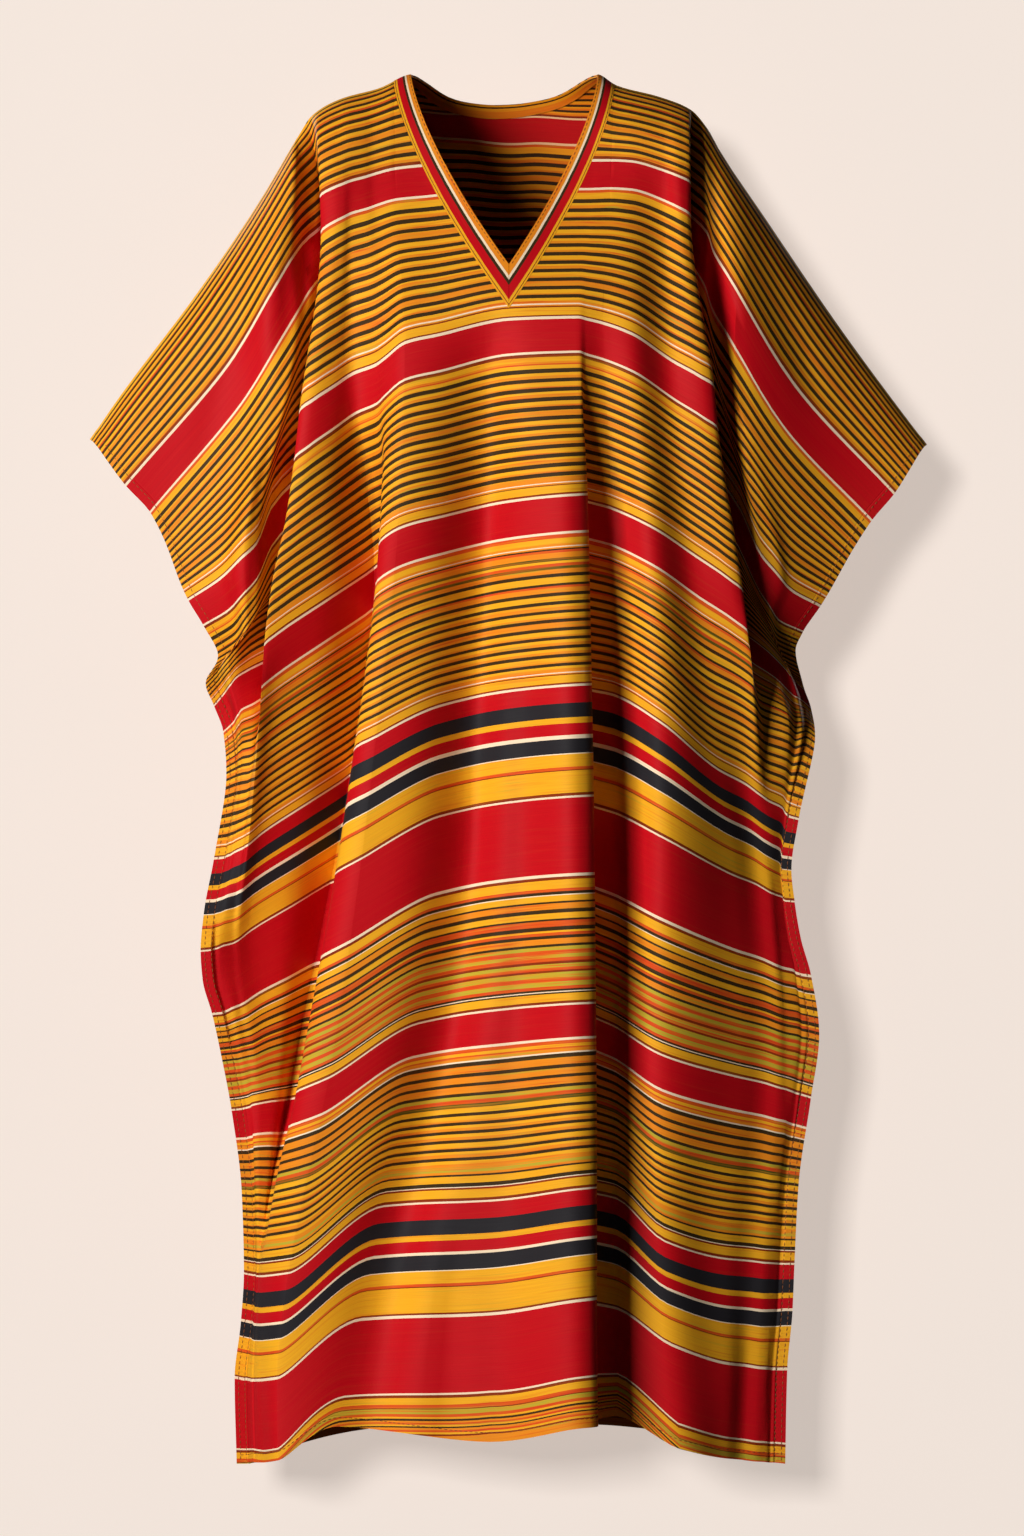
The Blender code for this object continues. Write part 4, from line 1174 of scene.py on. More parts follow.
def mesh_piece(name, vertices, faces, material):
    """A mesh object at the origin, from arrays of points and of quads."""
    mesh = bpy.data.meshes.new(name)
    mesh.vertices.add(len(vertices))
    mesh.vertices.foreach_set("co", np.ascontiguousarray(vertices, np.float32).ravel())
    mesh.loops.add(faces.size)
    mesh.loops.foreach_set("vertex_index", np.ascontiguousarray(faces, np.int32).ravel())
    mesh.polygons.add(len(faces))
    mesh.polygons.foreach_set("loop_start", np.arange(0, faces.size, 4, dtype=np.int32))
    mesh.update(calc_edges=True)
    mesh.validate()
    mesh.shade_smooth()
    mesh.set_sharp_from_angle(angle=np.radians(SHARP_EDGE_DEGREES))
    mesh.materials.append(material)
    piece = bpy.data.objects.new(name, mesh)
    bpy.context.scene.collection.objects.link(piece)
    return piece


def eased_moves(points, normals, distance):
    """How far each point moves along its normal: less in a tight fold, which would turn over."""
    moves = np.broadcast_to(distance, points.shape[:2]).copy()
    for _ in range(EASING_ROUNDS):
        moved = points + normals * moves[..., None]
        turned = np.zeros(moves.shape, bool)
        for axis in (0, 1):
            before = np.diff(points, axis=axis)
            after = np.diff(moved, axis=axis)
            over = (before * after).sum(axis=2) < EASING_LEAST * (before * before).sum(axis=2)
            first = [slice(None)] * 2
            second = [slice(None)] * 2
            first[axis] = slice(None, -1)
            second[axis] = slice(1, None)
            turned[tuple(first)] |= over
            turned[tuple(second)] |= over
        moves[turned] *= EASING_STEP
    return moves


def wall_piece(name, points, normals, outer, inner, uv, edge, material):
    """A closed sheet of cloth: each point moved outer and inner metres along its normal.

    uv is the cloth's map in metres, and edge the distance to the nearest turned edge in metres.
    """
    rows, columns = points.shape[:2]
    sides = [points + normals * eased_moves(points, normals, move)[..., None] for move in (outer, inner)]
    vertices = np.concatenate([side.reshape(-1, 3) for side in sides])
    down = points[1:, :-1] - points[:-1, :-1]
    along = points[:-1, 1:] - points[:-1, :-1]
    turned = (np.cross(down, along) * normals[:-1, :-1]).sum() < 0
    faces = wall_faces(rows, columns, turned)
    piece = mesh_piece(name, vertices, faces, material)
    layer = piece.data.uv_layers.new(name="cloth")
    both = np.concatenate([uv.reshape(-1, 2)] * 2)
    corner = np.empty(len(piece.data.loops), np.int32)
    piece.data.loops.foreach_get("vertex_index", corner)
    layer.data.foreach_set("uv", both[corner].astype(np.float32).ravel())
    attribute = piece.data.attributes.new("edge", "FLOAT", "POINT")
    attribute.data.foreach_set("value", np.concatenate([edge.ravel()] * 2).astype(np.float32))
    # The inner side is marked 1, and the cloth material darkens it there with painted shade.
    inside = np.repeat(np.array([0.0, 1.0], np.float32), rows * columns)
    piece.data.attributes.new("inside", "FLOAT", "POINT").data.foreach_set("value", inside)
    return piece


def find_on_sheet(sheet, seen):
    """The places across and flat distances whose points are seen at the given spots.

    From the nearest of a coarse grid, each round steps by the miss over the surface's two slopes.
    """
    start, end = neck_edges(sheet)
    wide, deep = NECK_SEARCH_GRID
    wide = np.linspace(start - NECK_SEARCH_MARGIN, end + NECK_SEARCH_MARGIN, wide)
    across, flat = np.meshgrid(wide, np.linspace(0, NECK_SEARCH_DEPTH, deep))
    sample = sheet.seen(across.ravel(), flat.ravel())[:, [0, 2]]
    nearest = np.argmin(((seen[:, None] - sample[None]) ** 2).sum(axis=2), axis=1)
    guess = np.stack([across.ravel()[nearest], flat.ravel()[nearest]], axis=1)
    nudge = NECK_SEARCH_NUDGE
    for _ in range(NECK_SEARCH_ROUNDS):
        here = sheet.seen(guess[:, 0], guess[:, 1])[:, [0, 2]]
        by_across = (sheet.seen(guess[:, 0] + nudge, guess[:, 1])[:, [0, 2]] - here) / nudge
        by_flat = (sheet.seen(guess[:, 0], guess[:, 1] + nudge)[:, [0, 2]] - here) / nudge
        miss = seen - here
        size = by_across[:, 0] * by_flat[:, 1] - by_across[:, 1] * by_flat[:, 0]
        step_across = (miss[:, 0] * by_flat[:, 1] - miss[:, 1] * by_flat[:, 0]) / size
        step_flat = (by_across[:, 0] * miss[:, 1] - by_across[:, 1] * miss[:, 0]) / size
        guess[:, 0] += np.clip(step_across, -NECK_SEARCH_MOST, NECK_SEARCH_MOST)
        guess[:, 1] += np.clip(step_flat, -NECK_SEARCH_MOST, NECK_SEARCH_MOST)
        guess[:, 1] = np.maximum(guess[:, 1], 0)
    return guess


def run_along(path):
    """The distance along a path of (N, 3) points to each of them."""
    return np.concatenate([[0], np.cumsum(np.linalg.norm(np.diff(path, axis=0), axis=1))])


def read_along(run, values, places):
    """Vectors at distances along a path, between those at its own points."""
    return np.stack([np.interp(places, run, values[:, i]) for i in range(3)], axis=-1)


def v_curve(side, share, top, half_width, depth):
    """Points of one side of the V as seen: the half width falls as 1 - share^bow down to the tip."""
    half = half_width * (1 - share**V_BOW)
    return np.stack([neck_middle(share) + side * half, top - depth * share], axis=1)


class Band:
    """The grid of one half of the neck band, from its inner edge to its outer edge."""

    def __init__(self, sheet, side, sizes):
        share = np.linspace(0, 1, BAND_ROWS)
        inner = v_curve(side, share, NECK_TOP, V_INNER_HALF_WIDTH, V_INNER_DEPTH)
        outer = v_curve(side, share, V_OUTER_TOP, V_OUTER_HALF_WIDTH - NECK_EDGE_SLACK, V_OUTER_DEPTH)
        gap = 1000 * sizes.seam_gap
        self.across_band = np.linspace(0, 1 - gap / np.linalg.norm(outer[0] - inner[0]), BAND_COLUMNS)
        seen = inner[:, None] + (outer - inner)[:, None] * self.across_band[None, :, None]
        seen[-1, :, 0] = NECK_MIDDLE_TIP + side * gap / 2
        places = find_on_sheet(sheet, seen.reshape(-1, 2))
        places[:BAND_COLUMNS, 1] = 0.0
        shape = seen.shape[:2]
        self.points = sheet.points(places[:, 0], places[:, 1]).reshape(shape + (3,))
        self.normals = grid_normals(self.points, (0, -1, 0))
        self.points[0, :, 1] -= sizes.seam_gap / 2
        self.normals[0, :, 1] = 0
        self.normals[-1, :, 0] = 0
        self.normals = unit(self.normals)
        run = run_along(self.points[:, BAND_COLUMNS // 2])
        self.uv = np.stack(np.broadcast_arrays(run[:, None], 1 - self.across_band[None, :]), axis=-1)


def facing_grid(panel):
    """Points, normals and map of the strip inside the back of the neck, on the panel's surface."""
    sheet = panel.sheet
    start, end = neck_edges(sheet)
    own = (panel.across >= start - NEAR_ZERO) & (panel.across <= end + NEAR_ZERO)
    share = np.linspace(0, 1, FACING_ROWS)
    flat = panel.start[own][None] + FACING_DEPTH * share[:, None]
    wide = np.broadcast_to(panel.across[own], flat.shape)
    points = sheet.points(wide.ravel(), flat.ravel()).reshape(flat.shape + (3,))
    points[0, flat[0] < NEAR_ZERO, 1] += panel.sizes.seam_gap / 2
    normals = grid_normals(points, panel.outward)
    return points, normals, np.stack(np.broadcast_arrays(wide / 1000, share[:, None]), axis=-1)


def stitch_rows(path, normals, sizes):
    """Vertices and faces of even stitches along a path: each is a thin six-sided arch of thread.

    Its middle line rises as 1 - t^2, with t from -1 to 1 along the stitch, and its ends sink in.
    """
    run = run_along(path)
    pitch = sizes.stitch + sizes.stitch_gap
    starts = np.arange(pitch / 2, run[-1] - pitch, pitch)
    along = np.linspace(0, 1, STITCH_SECTIONS)
    places = (starts[:, None] + along[None] * sizes.stitch).ravel()
    shape = (len(starts), STITCH_SECTIONS, 3)
    centre = read_along(run, path, places).reshape(shape)
    up = unit(read_along(run, normals, places)).reshape(shape)
    side = np.cross(unit(np.gradient(centre, axis=1)), up)
    bow = 1 - (2 * along - 1) ** 2
    arch = sizes.thread * (STITCH_RISE * bow - STITCH_SINK)
    centre = centre + up * arch[None, :, None]
    angle = np.linspace(0, 2 * np.pi, STITCH_SIDES, endpoint=False)[:, None]
    narrow = np.sqrt(np.clip(bow, STITCH_END_SHARE, 1))
    ring = np.cos(angle) * side[:, :, None] + np.sin(angle) * up[:, :, None]
    vertices = centre[:, :, None] + ring * (sizes.thread / 2) * narrow[None, :, None, None]
    index = np.arange(STITCH_SECTIONS * STITCH_SIDES).reshape(STITCH_SECTIONS, STITCH_SIDES)
    turn = np.roll(index, -1, axis=1)
    tube = np.stack([index[:-1], turn[:-1], turn[1:], index[1:]], axis=-1).reshape(-1, 4)
    first = index[0]
    last = index[-1]
    caps = [first[[3, 2, 1, 0]], first[[0, 5, 4, 3]], last[[0, 1, 2, 3]], last[[3, 4, 5, 0]]]
    one = np.concatenate([tube, caps])
    faces = (one[None] + (np.arange(len(starts)) * index.size)[:, None, None]).reshape(-1, 4)
    return vertices.reshape(-1, 3), faces


def stripe_starts():
    """Every stripe from the shoulder to below the hem: flat distance of its start, and its colour."""
    rows = list(YOKE_STRIPES + SECOND_RED + THIRD_RED + ABOVE_BLACK + SKIRT_STRIPES)
    rows += ABOVE_LOW_BLACK + HEM_STRIPES
    for first, end, count, width in EVEN_LINES:
        pitch = (end - first) / count
        for i in range(count):
            rows.append((first + i * pitch, "line"))
            rows.append((first + i * pitch + width, "yellow"))
            share = ORANGE_SHARES[(i + int(first)) % len(ORANGE_SHARES)]
            under = "orange_red" if first < BRIGHT_END and i in BRIGHT_LINES else "orange"
            rows.append((first + (i + 1) * pitch - share * (pitch - width), under))
    for block, starts in ((BLACK_AND_RED, BLACK_STARTS), (WIDE_RED, WIDE_RED_STARTS)):
        rows += [(start + offset, colour) for start in starts for offset, colour in block]
    rows = sorted(rows)
    ends = [at for at, _ in rows[1:]] + [CLOTH_END]
    trims = [CREAM_TRIM * (end - at) if name == "cream" else 0.0 for (at, name), end in zip(rows, ends)]
    befores = [0.0] + trims[:-1]
    return [(at + own - before, name) for (at, name), own, before in zip(rows, trims, befores)]


class Nodes:
    """A node tree that is filled from left to right, with short ways to add and link its nodes."""

    def __init__(self, tree):
        self.tree = tree
        self.place = 0

    def add(self, kind, **settings):
        node = self.tree.nodes.new(kind)
        for name, value in settings.items():
            setattr(node, name, value)
        node.location = (NODE_SPACING * self.place, 0)
        self.place += 1
        return node

    def link(self, source, target):
        self.tree.links.new(source, target)

    def set(self, socket, value):
        """A link where the value is a socket, and a plain value otherwise."""
        if isinstance(value, bpy.types.NodeSocket):
            self.link(value, socket)
        else:
            socket.default_value = value

    def math(self, operation, first, second=0.0, third=0.0):
        node = self.add("ShaderNodeMath", operation=operation)
        for socket, value in zip(node.inputs, (first, second, third)):
            self.set(socket, value)
        return node.outputs[0]

    def mix(self, share, first, second, blend="MIX"):
        node = self.add("ShaderNodeMix", data_type="RGBA", blend_type=blend)
        self.set(node.inputs["Factor"], share)
        self.set(node.inputs["A"], first)
        self.set(node.inputs["B"], second)
        return node.outputs["Result"]

    def fill(self, node, values):
        """Sets inputs of a node by name, and gives its outputs."""
        for name, value in values.items():
            self.set(node.inputs[name], value)
        return node.outputs

    def group(self, tree, values):
        return self.fill(self.add("ShaderNodeGroup", node_tree=tree), values)

    def noise(self, vector, scale, detail, roughness=0.5):
        node = self.add("ShaderNodeTexNoise")
        values = {"Vector": vector, "Scale": scale, "Detail": detail, "Roughness": roughness}
        return self.fill(node, values)["Fac"]

    def stretch(self, vector, scale):
        node = self.add("ShaderNodeVectorMath", operation="MULTIPLY")
        self.link(vector, node.inputs[0])
        node.inputs[1].default_value = scale
        return node.outputs[0]

    def patches(self, vector, counts, detail=COARSE_DETAIL, roughness=0.5):
        """Noise with so many patches to a metre along each axis."""
        return self.noise(self.stretch(vector, counts), 1.0, detail, roughness)

    def ramp(self, value, stops):
        """A colour ramp: stops are (place, colour with alpha)."""
        node = self.add("ShaderNodeValToRGB")
        self.link(value, node.inputs["Fac"])
        parts = node.color_ramp.elements
        while len(parts) < len(stops):
            parts.new(1.0)
        for part, (share, colour) in zip(parts, stops):
            part.position = share
            part.color = colour
        return node

    def steps(self, value, start, end, stops):
        """A ramp of even colours: stops are (share, colour with its wander as alpha)."""
        span = self.add("ShaderNodeMapRange")
        shown = self.fill(span, {"Value": value, "From Min": start, "From Max": end})
        ramp = self.ramp(shown["Result"], stops)
        ramp.color_ramp.interpolation = "CONSTANT"
        return ramp.outputs["Color"], ramp.outputs["Alpha"]


def new_group(name, inputs, outputs):
    """A shader node group with its sockets, and the ends inside it. One that exists is filled anew."""
    group = bpy.data.node_groups.get(name)
    if group is None:
        group = bpy.data.node_groups.new(name, "ShaderNodeTree")
        for way, labels in (("INPUT", inputs), ("OUTPUT", outputs)):
            for label in labels:
                kind = SOCKET_KINDS.get(label, "NodeSocketFloat")
                group.interface.new_socket(name=label, in_out=way, socket_type=kind)
    group.nodes.clear()
    nodes = Nodes(group)
    start = nodes.add("NodeGroupInput").outputs
    end = nodes.add("NodeGroupOutput")
    return group, nodes, start, end


def new_material(name):
    """A material, its nodes and its shader."""
    material = bpy.data.materials.new(name)
    material.use_nodes = True
    return material, Nodes(material.node_tree), material.node_tree.nodes["Principled BSDF"]


def thread_colour(colours, name):
    """A thread's colour, with how far it wanders as its fourth part."""
    return tuple(getattr(colours, name)) + (WANDER[name],)


def colour_stops(colours, stripes):
    """Places of stripes with their threads' colours, for a ramp."""
    return [(at, thread_colour(colours, name)) for at, name in stripes]


def striped_cloth_group(colours):
    """Colour of the woven stripes by flat distance, in ramps of even colours joined end to end."""
    group, nodes, start, end = new_group("Striped Cloth", ("Vector",), ("Color", "Wander"))
    vector = start["Vector"]
    bent = nodes.patches(vector, LINE_BENDS, FINE_DETAIL)
    bend = nodes.math("MULTIPLY_ADD", bent, 2 * LINE_WANDER / 1000, -LINE_WANDER / 1000)
    parted = nodes.add("ShaderNodeSeparateXYZ")
    nodes.link(vector, parted.inputs[0])
    flat = nodes.math("ADD", parted.outputs["Y"], bend)
    rows = stripe_starts()
    colour = None
    wander = None
    for first in range(0, len(rows), RAMP_STOPS):
        part = rows[first : first + RAMP_STOPS]
        low = part[0][0]
        high = rows[first + RAMP_STOPS][0] if first + RAMP_STOPS < len(rows) else CLOTH_END
        shares = [((at - low) / (high - low), name) for at, name in part]
        shown, alpha = nodes.steps(flat, low / 1000, high / 1000, colour_stops(colours, shares))
        if colour is None:
            colour = shown
            wander = alpha
            continue
        past = nodes.math("GREATER_THAN", flat, low / 1000)
        colour = nodes.mix(past, colour, shown)
        more = nodes.math("SUBTRACT", alpha, wander)
        wander = nodes.math("MULTIPLY_ADD", past, more, wander)
    nodes.fill(end, {"Color": colour, "Wander": wander})
    return group


def dye_group(colours):
    """Colour that wanders along the threads: streaks of orange, red and lime where wander allows."""
    group, nodes, start, end = new_group("Dyed Threads", ("Vector", "Color", "Wander"), ("Color",))
    long = nodes.patches(start["Vector"], LONG_STREAKS)
    fine = nodes.patches(start["Vector"], FINE_STREAKS)
    hue = nodes.ramp(long, colour_stops(colours, DYE_COLOURS)).outputs["Color"]
    away = nodes.math("ABSOLUTE", nodes.math("SUBTRACT", long, 0.5))
    strong = nodes.math("MINIMUM", nodes.math("MULTIPLY", away, DYE_GAIN), 1.0)
    strong = nodes.math("MULTIPLY", strong, start["Wander"])
    coloured = nodes.mix(strong, start["Color"], hue)
    tone = nodes.math("MULTIPLY_ADD", fine, TONE_SPREAD, TONE_LEAST)
    shade = nodes.add("ShaderNodeCombineColor")
    for socket in shade.inputs:
        nodes.link(tone, socket)
    nodes.fill(end, {"Color": nodes.mix(1.0, coloured, shade.outputs["Color"], "MULTIPLY")})
    return group


def weave_group():
    """Height of the weave: crossed thread waves, slubs that run across it, and the turned edge."""
    inputs = ("Vector", "Edge", "Fold Line")
    group, nodes, start, end = new_group("Woven Relief", inputs, ("Height", "Roughness"))
    vector = start["Vector"]
    parted = nodes.add("ShaderNodeSeparateXYZ")
    nodes.link(vector, parted.inputs[0])
    pitch = 2 * np.pi / WEAVE_PITCH
    across = nodes.math("SINE", nodes.math("MULTIPLY", parted.outputs["X"], pitch))
    down = nodes.math("SINE", nodes.math("MULTIPLY", parted.outputs["Y"], pitch))
    slub = nodes.patches(vector, SLUBS, FINE_DETAIL, SLUB_ROUGHNESS)
    cloudy = nodes.patches(vector, CLOUDS, FINE_DETAIL, SLUB_ROUGHNESS)
    groove = nodes.math("ABSOLUTE", nodes.math("SUBTRACT", start["Edge"], start["Fold Line"]))
    groove = nodes.math("MINIMUM", nodes.math("MULTIPLY", groove, 1 / GROOVE_HALF_WIDTH), 1.0)
    height = nodes.math("MULTIPLY", nodes.math("MULTIPLY", across, down), WEAVE_HEIGHT)
    for part, share in ((slub, SLUB_HEIGHT), (cloudy, CLOUD_HEIGHT), (groove, GROOVE_HEIGHT)):
        height = nodes.math("MULTIPLY_ADD", part, share, height)
    rough = nodes.math("MULTIPLY_ADD", slub, ROUGHNESS_SPREAD, ROUGHNESS_LEAST)
    nodes.fill(end, {"Height": height, "Roughness": rough})
    return group


def lengthwise_group(name, colours, stripes, bend):
    """Colour of a narrow piece: stripes along it, by the share of its width from one long edge."""
    group, nodes, start, end = new_group(name, ("Vector",), ("Color", "Wander"))
    parted = nodes.add("ShaderNodeSeparateXYZ")
    nodes.link(start["Vector"], parted.inputs[0])
    bent = nodes.math("MULTIPLY_ADD", nodes.patches(start["Vector"], BAND_BENDS), 2 * bend, -bend)
    share = nodes.math("ADD", parted.outputs["Y"], bent)
    colour, wander = nodes.steps(share, 0.0, 1.0, colour_stops(colours, stripes))
    nodes.fill(end, {"Color": colour, "Wander": wander})
    return group


def cloth_material(name, pattern, relief_scale, sizes, colours):
    """Woven cotton: the pattern's colour with wandering dye, darker on its inside faces with painted
    shade, a low woven relief and a soft sheen.
    """
    material, nodes, shader = new_material(name)
    uv = nodes.add("ShaderNodeUVMap", uv_map="cloth").outputs["UV"]
    edge = nodes.add("ShaderNodeAttribute", attribute_name="edge").outputs["Fac"]
    inside = nodes.add("ShaderNodeAttribute", attribute_name="inside").outputs["Fac"]
    thread = nodes.stretch(uv, relief_scale)
    stripes = nodes.group(pattern, {"Vector": uv})
    undyed = {"Vector": thread, "Color": stripes["Color"], "Wander": stripes["Wander"]}
    dyed = nodes.group(dye_group(colours), undyed)["Color"]
    relief = nodes.group(weave_group(), {"Vector": thread, "Edge": edge, "Fold Line": sizes.hem})
    bump = nodes.fill(nodes.add("ShaderNodeBump"), {**BUMP, "Height": relief["Height"]})
    # Painted shade: the inside faces are made darker and more orange, partly as the cloth's wrong side
    # and partly as shade inside the garment.
    nodes.fill(shader, {
        "Base Color": nodes.mix(inside, dyed, INSIDE_SHADE_AND_TINT, "MULTIPLY"),
        "Roughness": relief["Roughness"],
        "Normal": bump["Normal"],
        **CLOTH_LIGHT,
    })
    return material


def thread_material(colours):
    """Twisted sewing thread, with a tone that varies along it."""
    material, nodes, shader = new_material("sewing_thread")
    place = nodes.add("ShaderNodeTexCoord").outputs["Object"]
    tone = nodes.math("MULTIPLY", nodes.noise(place, *THREAD_PATCHES), THREAD_PATCH_SHARE)
    plain = tuple(colours.thread) + (1.0,)
    light = tuple(colours.orange) + (1.0,)
    colour = nodes.mix(tone, plain, light)
    nodes.fill(shader, {"Base Color": colour, "Roughness": THREAD_ROUGHNESS})
    return material


def replace_old(name):
    """Takes out an earlier piece of that name, so that an operator can be run again."""
    old = bpy.data.objects.get(name)
    if old:
        bpy.data.objects.remove(old, do_unlink=True)


def settings_of(context):
    return context.scene.kaftan_sizes, context.scene.kaftan_colours


def panel_of(side, sizes):
    """The grid of the front or the back panel, from its own folds."""
    if side == "front":
        return Panel(front_sheet(Folds(FRONT_VALLEY), sizes.crease), sizes)
    return Panel(back_sheet(Folds(BACK_VALLEY), sizes.crease), sizes)


def panel_piece(side, context):
    """Builds one panel as a closed wall that is thicker along its turned edges."""
    sizes, colours = settings_of(context)
    name = f"{side}_cloth"
    replace_old(name)
    panel = panel_of(side, sizes)
    near_edge = soft_step((sizes.hem - panel.edge) / EDGE_STEP + 0.5)
    half = sizes.cloth / 2 + sizes.hem_extra * near_edge
    pattern = striped_cloth_group(colours)
    material = cloth_material(f"striped_{side}", pattern, PANEL_RELIEF, sizes, colours)
    piece = wall_piece(name, panel.points, panel.normals, half, -half, panel.uv(), panel.edge, material)
    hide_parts(f"{side}_panel")
    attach(piece, "root")
    return piece


class KAFTAN_OT_front(bpy.types.Operator):
    """Build the front panel"""

    bl_idname = "kaftan.front"
    bl_label = "Front panel"

    def execute(self, context):
        piece = panel_piece("front", context)
        return {"FINISHED"}


class KAFTAN_OT_back(bpy.types.Operator):
    """Build the back panel"""

    bl_idname = "kaftan.back"
    bl_label = "Back panel"

    def execute(self, context):
        piece = panel_piece("back", context)
        return {"FINISHED"}


class KAFTAN_OT_bands(bpy.types.Operator):
    """Build the two halves of the neck band, mitred at the tip of the V"""

    bl_idname = "kaftan.bands"
    bl_label = "Neck band"

    def execute(self, context):
        sizes, colours = settings_of(context)
        sheet = front_sheet(Folds(FRONT_VALLEY), sizes.crease)
        pattern = lengthwise_group("Band Stripes", colours, BAND_STRIPES, BAND_WANDER)
        material = cloth_material("band_stripes", pattern, BAND_RELIEF, sizes, colours)
        for side, word in ((-1, "left"), (1, "right")):
            name = f"neck_band_cloth_{word}"
            replace_old(name)
            band = Band(sheet, side, sizes)
            half = sizes.cloth / 2 + sizes.hem_extra
            edge = np.full(band.points.shape[:2], FAR_FROM_EDGE)
            piece = wall_piece(name, band.points, band.normals, half, -half, band.uv, edge, material)
            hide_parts(f"neck_band_{word}")
            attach(piece, "root")
        return {"FINISHED"}


class KAFTAN_OT_facing(bpy.types.Operator):
    """Build the strip inside the back of the neck"""

    bl_idname = "kaftan.facing"
    bl_label = "Back neck facing"

    def execute(self, context):
        sizes, colours = settings_of(context)
        replace_old("back_neck_strip")
        points, normals, uv = facing_grid(panel_of("back", sizes))
        near = -(sizes.cloth / 2 + sizes.hem_extra + sizes.seam_gap)
        edge = np.full(points.shape[:2], FAR_FROM_EDGE)
        pattern = lengthwise_group("Facing Line", colours, FACING_STRIPES, 0.0)
        material = cloth_material("facing_plain", pattern, FACING_RELIEF, sizes, colours)
        far = near - sizes.cloth
        piece = wall_piece("back_neck_strip", points, normals, near, far, uv, edge, material)
        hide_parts("back_neck_facing")
        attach(piece, "root")
        return {"FINISHED"}


def inset_path(points, normals, distance, from_right):
    """Points and normals at one distance along the cloth from a side edge, one for each row."""
    if from_right:
        points = points[:, ::-1]
        normals = normals[:, ::-1]
    run = row_runs(points)
    low = np.argmax(run > distance, axis=1) - 1
    row = np.arange(len(points))
    share = ((distance - run[row, low]) / (run[row, low + 1] - run[row, low]))[:, None]
    return tuple(between(grid[row, low], grid[row, low + 1], share) for grid in (points, normals))


def panel_stitches(panel, sizes):
    """Paths of the stitches on one panel: along both cuffs, both side seams and the hem."""
    lift = (sizes.cloth / 2 + sizes.hem_extra) * panel.normals
    surface = panel.points + lift
    paths = []
    for from_right in (False, True):
        column = -1 if from_right else 0
        flat = panel.flat[:, column]
        path, up = inset_path(surface, panel.normals, CUFF_STITCH, from_right)
        cuff = flat <= CUFF_END
        paths.append((path[cuff], up[cuff]))
        for distance in SIDE_STITCHES:
            path, up = inset_path(surface, panel.normals, distance, from_right)
            side = flat >= SEAM_START
            paths.append((path[side], up[side]))
    turned = surface.transpose(1, 0, 2)
    path, up = inset_path(turned, panel.normals.transpose(1, 0, 2), HEM_STITCH, True)
    paths.append((path[HEM_SKIP:-HEM_SKIP], up[HEM_SKIP:-HEM_SKIP]))
    return paths


def band_stitches(sizes):
    """Paths of the stitches along both edges of each half of the neck band."""
    sheet = front_sheet(Folds(FRONT_VALLEY), sizes.crease)
    paths = []
    for side in (-1, 1):
        band = Band(sheet, side, sizes)
        surface = band.points + band.normals * (sizes.cloth / 2 + sizes.hem_extra)
        for share in BAND_STITCHES:
            column = round(share * (BAND_COLUMNS - 1))
            paths.append((surface[:-1, column], band.normals[:-1, column]))
    return paths


class KAFTAN_OT_stitches(bpy.types.Operator):
    """Sew the stitches of the cuffs, side seams, hem and neck band"""

    bl_idname = "kaftan.stitches"
    bl_label = "Stitches"

    def execute(self, context):
        sizes, colours = settings_of(context)
        material = thread_material(colours)
        groups = {
            "stitches_front": panel_stitches(panel_of("front", sizes), sizes),
            "stitches_back": panel_stitches(panel_of("back", sizes), sizes),
            "stitches_neck": band_stitches(sizes),
        }
        for name, paths in groups.items():
            replace_old(name)
            rows = [stitch_rows(path, up, sizes) for path, up in paths]
            starts = np.cumsum([0] + [len(points) for points, _ in rows[:-1]])
            vertices = np.concatenate([points for points, _ in rows])
            faces = np.concatenate([quads + start for (_, quads), start in zip(rows, starts)])
            piece = mesh_piece(name, vertices, faces, material)
            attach(piece, "root")
        return {"FINISHED"}


def plain_material(name, colour, roughness):
    """A painted surface with faint clouds in its colour, partly lit from within so that it is even."""
    material, nodes, shader = new_material(name)
    place = nodes.add("ShaderNodeTexCoord").outputs["Object"]
    light, dark = (tuple(tone * part for part in colour) + (1.0,) for tone in STAGE_TONES)
    nodes.fill(shader, {
        "Emission Color": nodes.mix(nodes.noise(place, *STAGE_CLOUDS), light, dark),
        "Emission Strength": STAGE_GLOW,
        "Base Color": tuple(STAGE_DIFFUSE * part for part in colour) + (1.0,),
        "Roughness": roughness,
        "Specular IOR Level": STAGE_SPECULAR,
    })
    return material, nodes, shader


def wall_material(colour):
    """The backdrop, which can't be seen from behind."""
    material, nodes, shader = plain_material("wall_paint", colour, WALL_ROUGHNESS)
    behind = nodes.add("ShaderNodeNewGeometry").outputs["Backfacing"]
    clear = nodes.add("ShaderNodeBsdfTransparent").outputs["BSDF"]
    either = nodes.add("ShaderNodeMixShader")
    for socket, source in zip(either.inputs, (behind, shader.outputs["BSDF"], clear)):
        nodes.link(source, socket)
    nodes.link(either.outputs["Shader"], material.node_tree.nodes["Material Output"].inputs["Surface"])
    return material


def stage_corners(low):
    """Corners of a rectangle as wide as the stage, from the height or depth low to its end."""
    return ((-STAGE_HALF, low), (STAGE_HALF, low), (STAGE_HALF, STAGE_HALF), (-STAGE_HALF, STAGE_HALF))


def stage_plane(name, corners, material):
    """One flat side of the stage. It throws no light of its own on the cloth."""
    replace_old(name)
    piece = mesh_piece(name, np.array(corners, float), np.array([[0, 1, 2, 3]]), material)
    piece.visible_diffuse = False
    piece.visible_glossy = False
    return piece


def stage_only(name, pieces, state):
    """A collection for a light: it lights only the stage (INCLUDE) or everything but it (EXCLUDE)."""
    group = bpy.data.collections.get(name) or bpy.data.collections.new(name)
    for piece in pieces:
        group.objects.link(piece)
    for member in group.collection_objects:
        member.light_linking.link_state = state
    return group


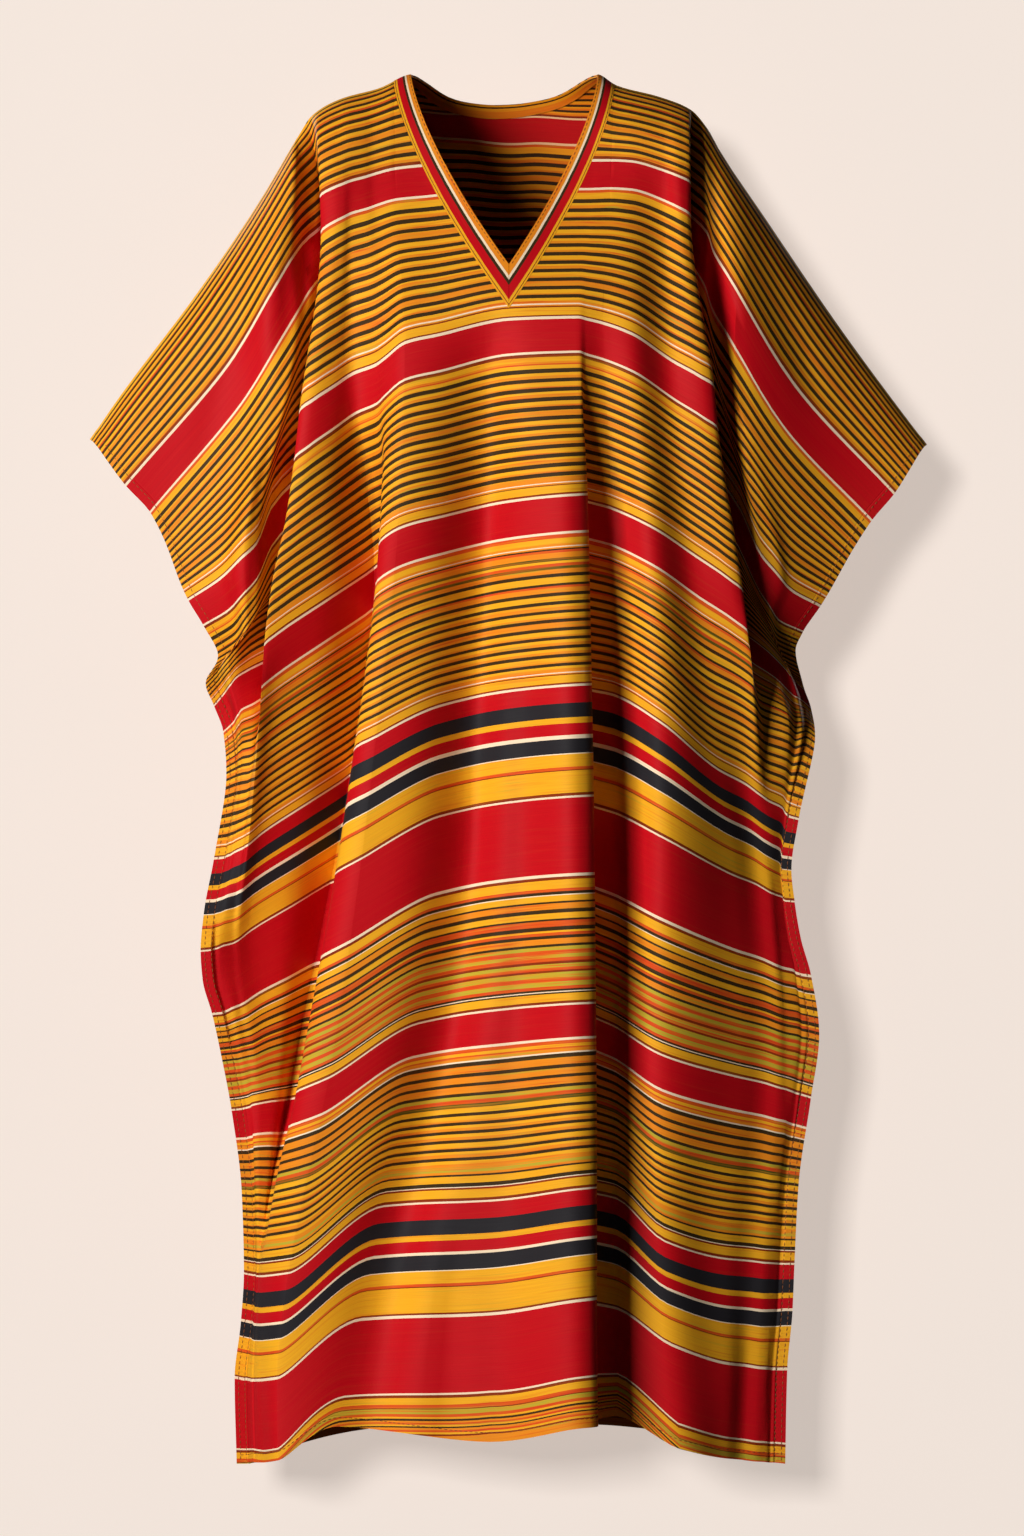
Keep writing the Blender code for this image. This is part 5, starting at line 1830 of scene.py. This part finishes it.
def area_light(name, place, target, size, watts, colour):
    """A square light that faces its target."""
    replace_old(name)
    data = bpy.data.lights.new(name, "AREA")
    data.size = size
    data.energy = watts
    data.color = colour
    light = bpy.data.objects.new(name, data)
    light.location = place
    light.rotation_euler = (Vector(target) - Vector(place)).to_track_quat("-Z", "Y").to_euler()
    bpy.context.scene.collection.objects.link(light)
    return light


def studio_world():
    """A pale room that lights the cloth only a little."""
    world = bpy.data.worlds.new("studio")
    world.use_nodes = True
    nodes = Nodes(world.node_tree)
    background = world.node_tree.nodes["Background"]
    background.inputs["Color"].default_value = WORLD_COLOUR
    seen = nodes.add("ShaderNodeLightPath").outputs["Is Camera Ray"]
    strength = nodes.math("MULTIPLY_ADD", seen, WORLD_SEEN - WORLD_LIGHT, WORLD_LIGHT)
    nodes.link(strength, background.inputs["Strength"])
    return world


class KAFTAN_OT_stage(bpy.types.Operator):
    """Set up the wall, the floor, the lights and the camera"""

    bl_idname = "kaftan.stage"
    bl_label = "Stage"

    def execute(self, context):
        scene = context.scene
        paint = scene.kaftan_colours.wall
        wall = [(x, WALL_DEPTH, z) for x, z in stage_corners(FLOOR_HEIGHT)]
        backdrop = stage_plane("wall", wall, wall_material(paint))
        backdrop.visible_shadow = False
        floor = [(x, y, FLOOR_HEIGHT) for x, y in stage_corners(-STAGE_HALF)]
        ground = stage_plane("floor", floor, plain_material("floor_paint", paint, FLOOR_ROUGHNESS)[0])
        for name, place, target, size, watts, colour, receives in LIGHTS:
            light = area_light(name, place, target, size, watts, colour)
            state = "INCLUDE" if receives == "stage" else "EXCLUDE"
            light.light_linking.receiver_collection = stage_only(name, (backdrop, ground), state)
        scene.world = studio_world()
        scene.view_settings.view_transform = "Standard"
        replace_old("camera")
        data = bpy.data.cameras.new("camera")
        data.lens = CAMERA_LENS
        camera = bpy.data.objects.new("camera", data)
        camera.location = CAMERA_PLACE
        camera.rotation_euler = (np.pi / 2, 0.0, 0.0)
        scene.collection.objects.link(camera)
        scene.camera = camera
        return {"FINISHED"}


PIECE_OPERATORS = (
    KAFTAN_OT_front,
    KAFTAN_OT_back,
    KAFTAN_OT_bands,
    KAFTAN_OT_facing,
    KAFTAN_OT_stitches,
    KAFTAN_OT_stage,
)


class KAFTAN_PT_panel(bpy.types.Panel):
    """The kaftan's sizes, colours and pieces"""

    bl_idname = "KAFTAN_PT_panel"
    bl_label = "Kaftan"
    bl_space_type = "VIEW_3D"
    bl_region_type = "UI"
    bl_category = "Kaftan"

    def draw(self, context):
        column = self.layout.column()
        for group in settings_of(context):
            for name in group.bl_rna.properties.keys():
                if name not in ("name", "rna_type"):
                    column.prop(group, name)
        for operator in PIECE_OPERATORS:
            column.operator(operator.bl_idname)


CLASSES = (KaftanSizes, KaftanColours) + PIECE_OPERATORS + (KAFTAN_PT_panel,)


def register():
    for item in CLASSES:
        bpy.utils.register_class(item)
    bpy.types.Scene.kaftan_sizes = PointerProperty(type=KaftanSizes)
    bpy.types.Scene.kaftan_colours = PointerProperty(type=KaftanColours)


def unregister():
    del bpy.types.Scene.kaftan_colours
    del bpy.types.Scene.kaftan_sizes
    for item in reversed(CLASSES):
        bpy.utils.unregister_class(item)


def main():
    register()
    bpy.ops.kaftan.stage()
    bpy.ops.kaftan.front()
    bpy.ops.kaftan.back()
    bpy.ops.kaftan.bands()
    bpy.ops.kaftan.facing()
    bpy.ops.kaftan.stitches()


if __name__ == "__main__":
    main()
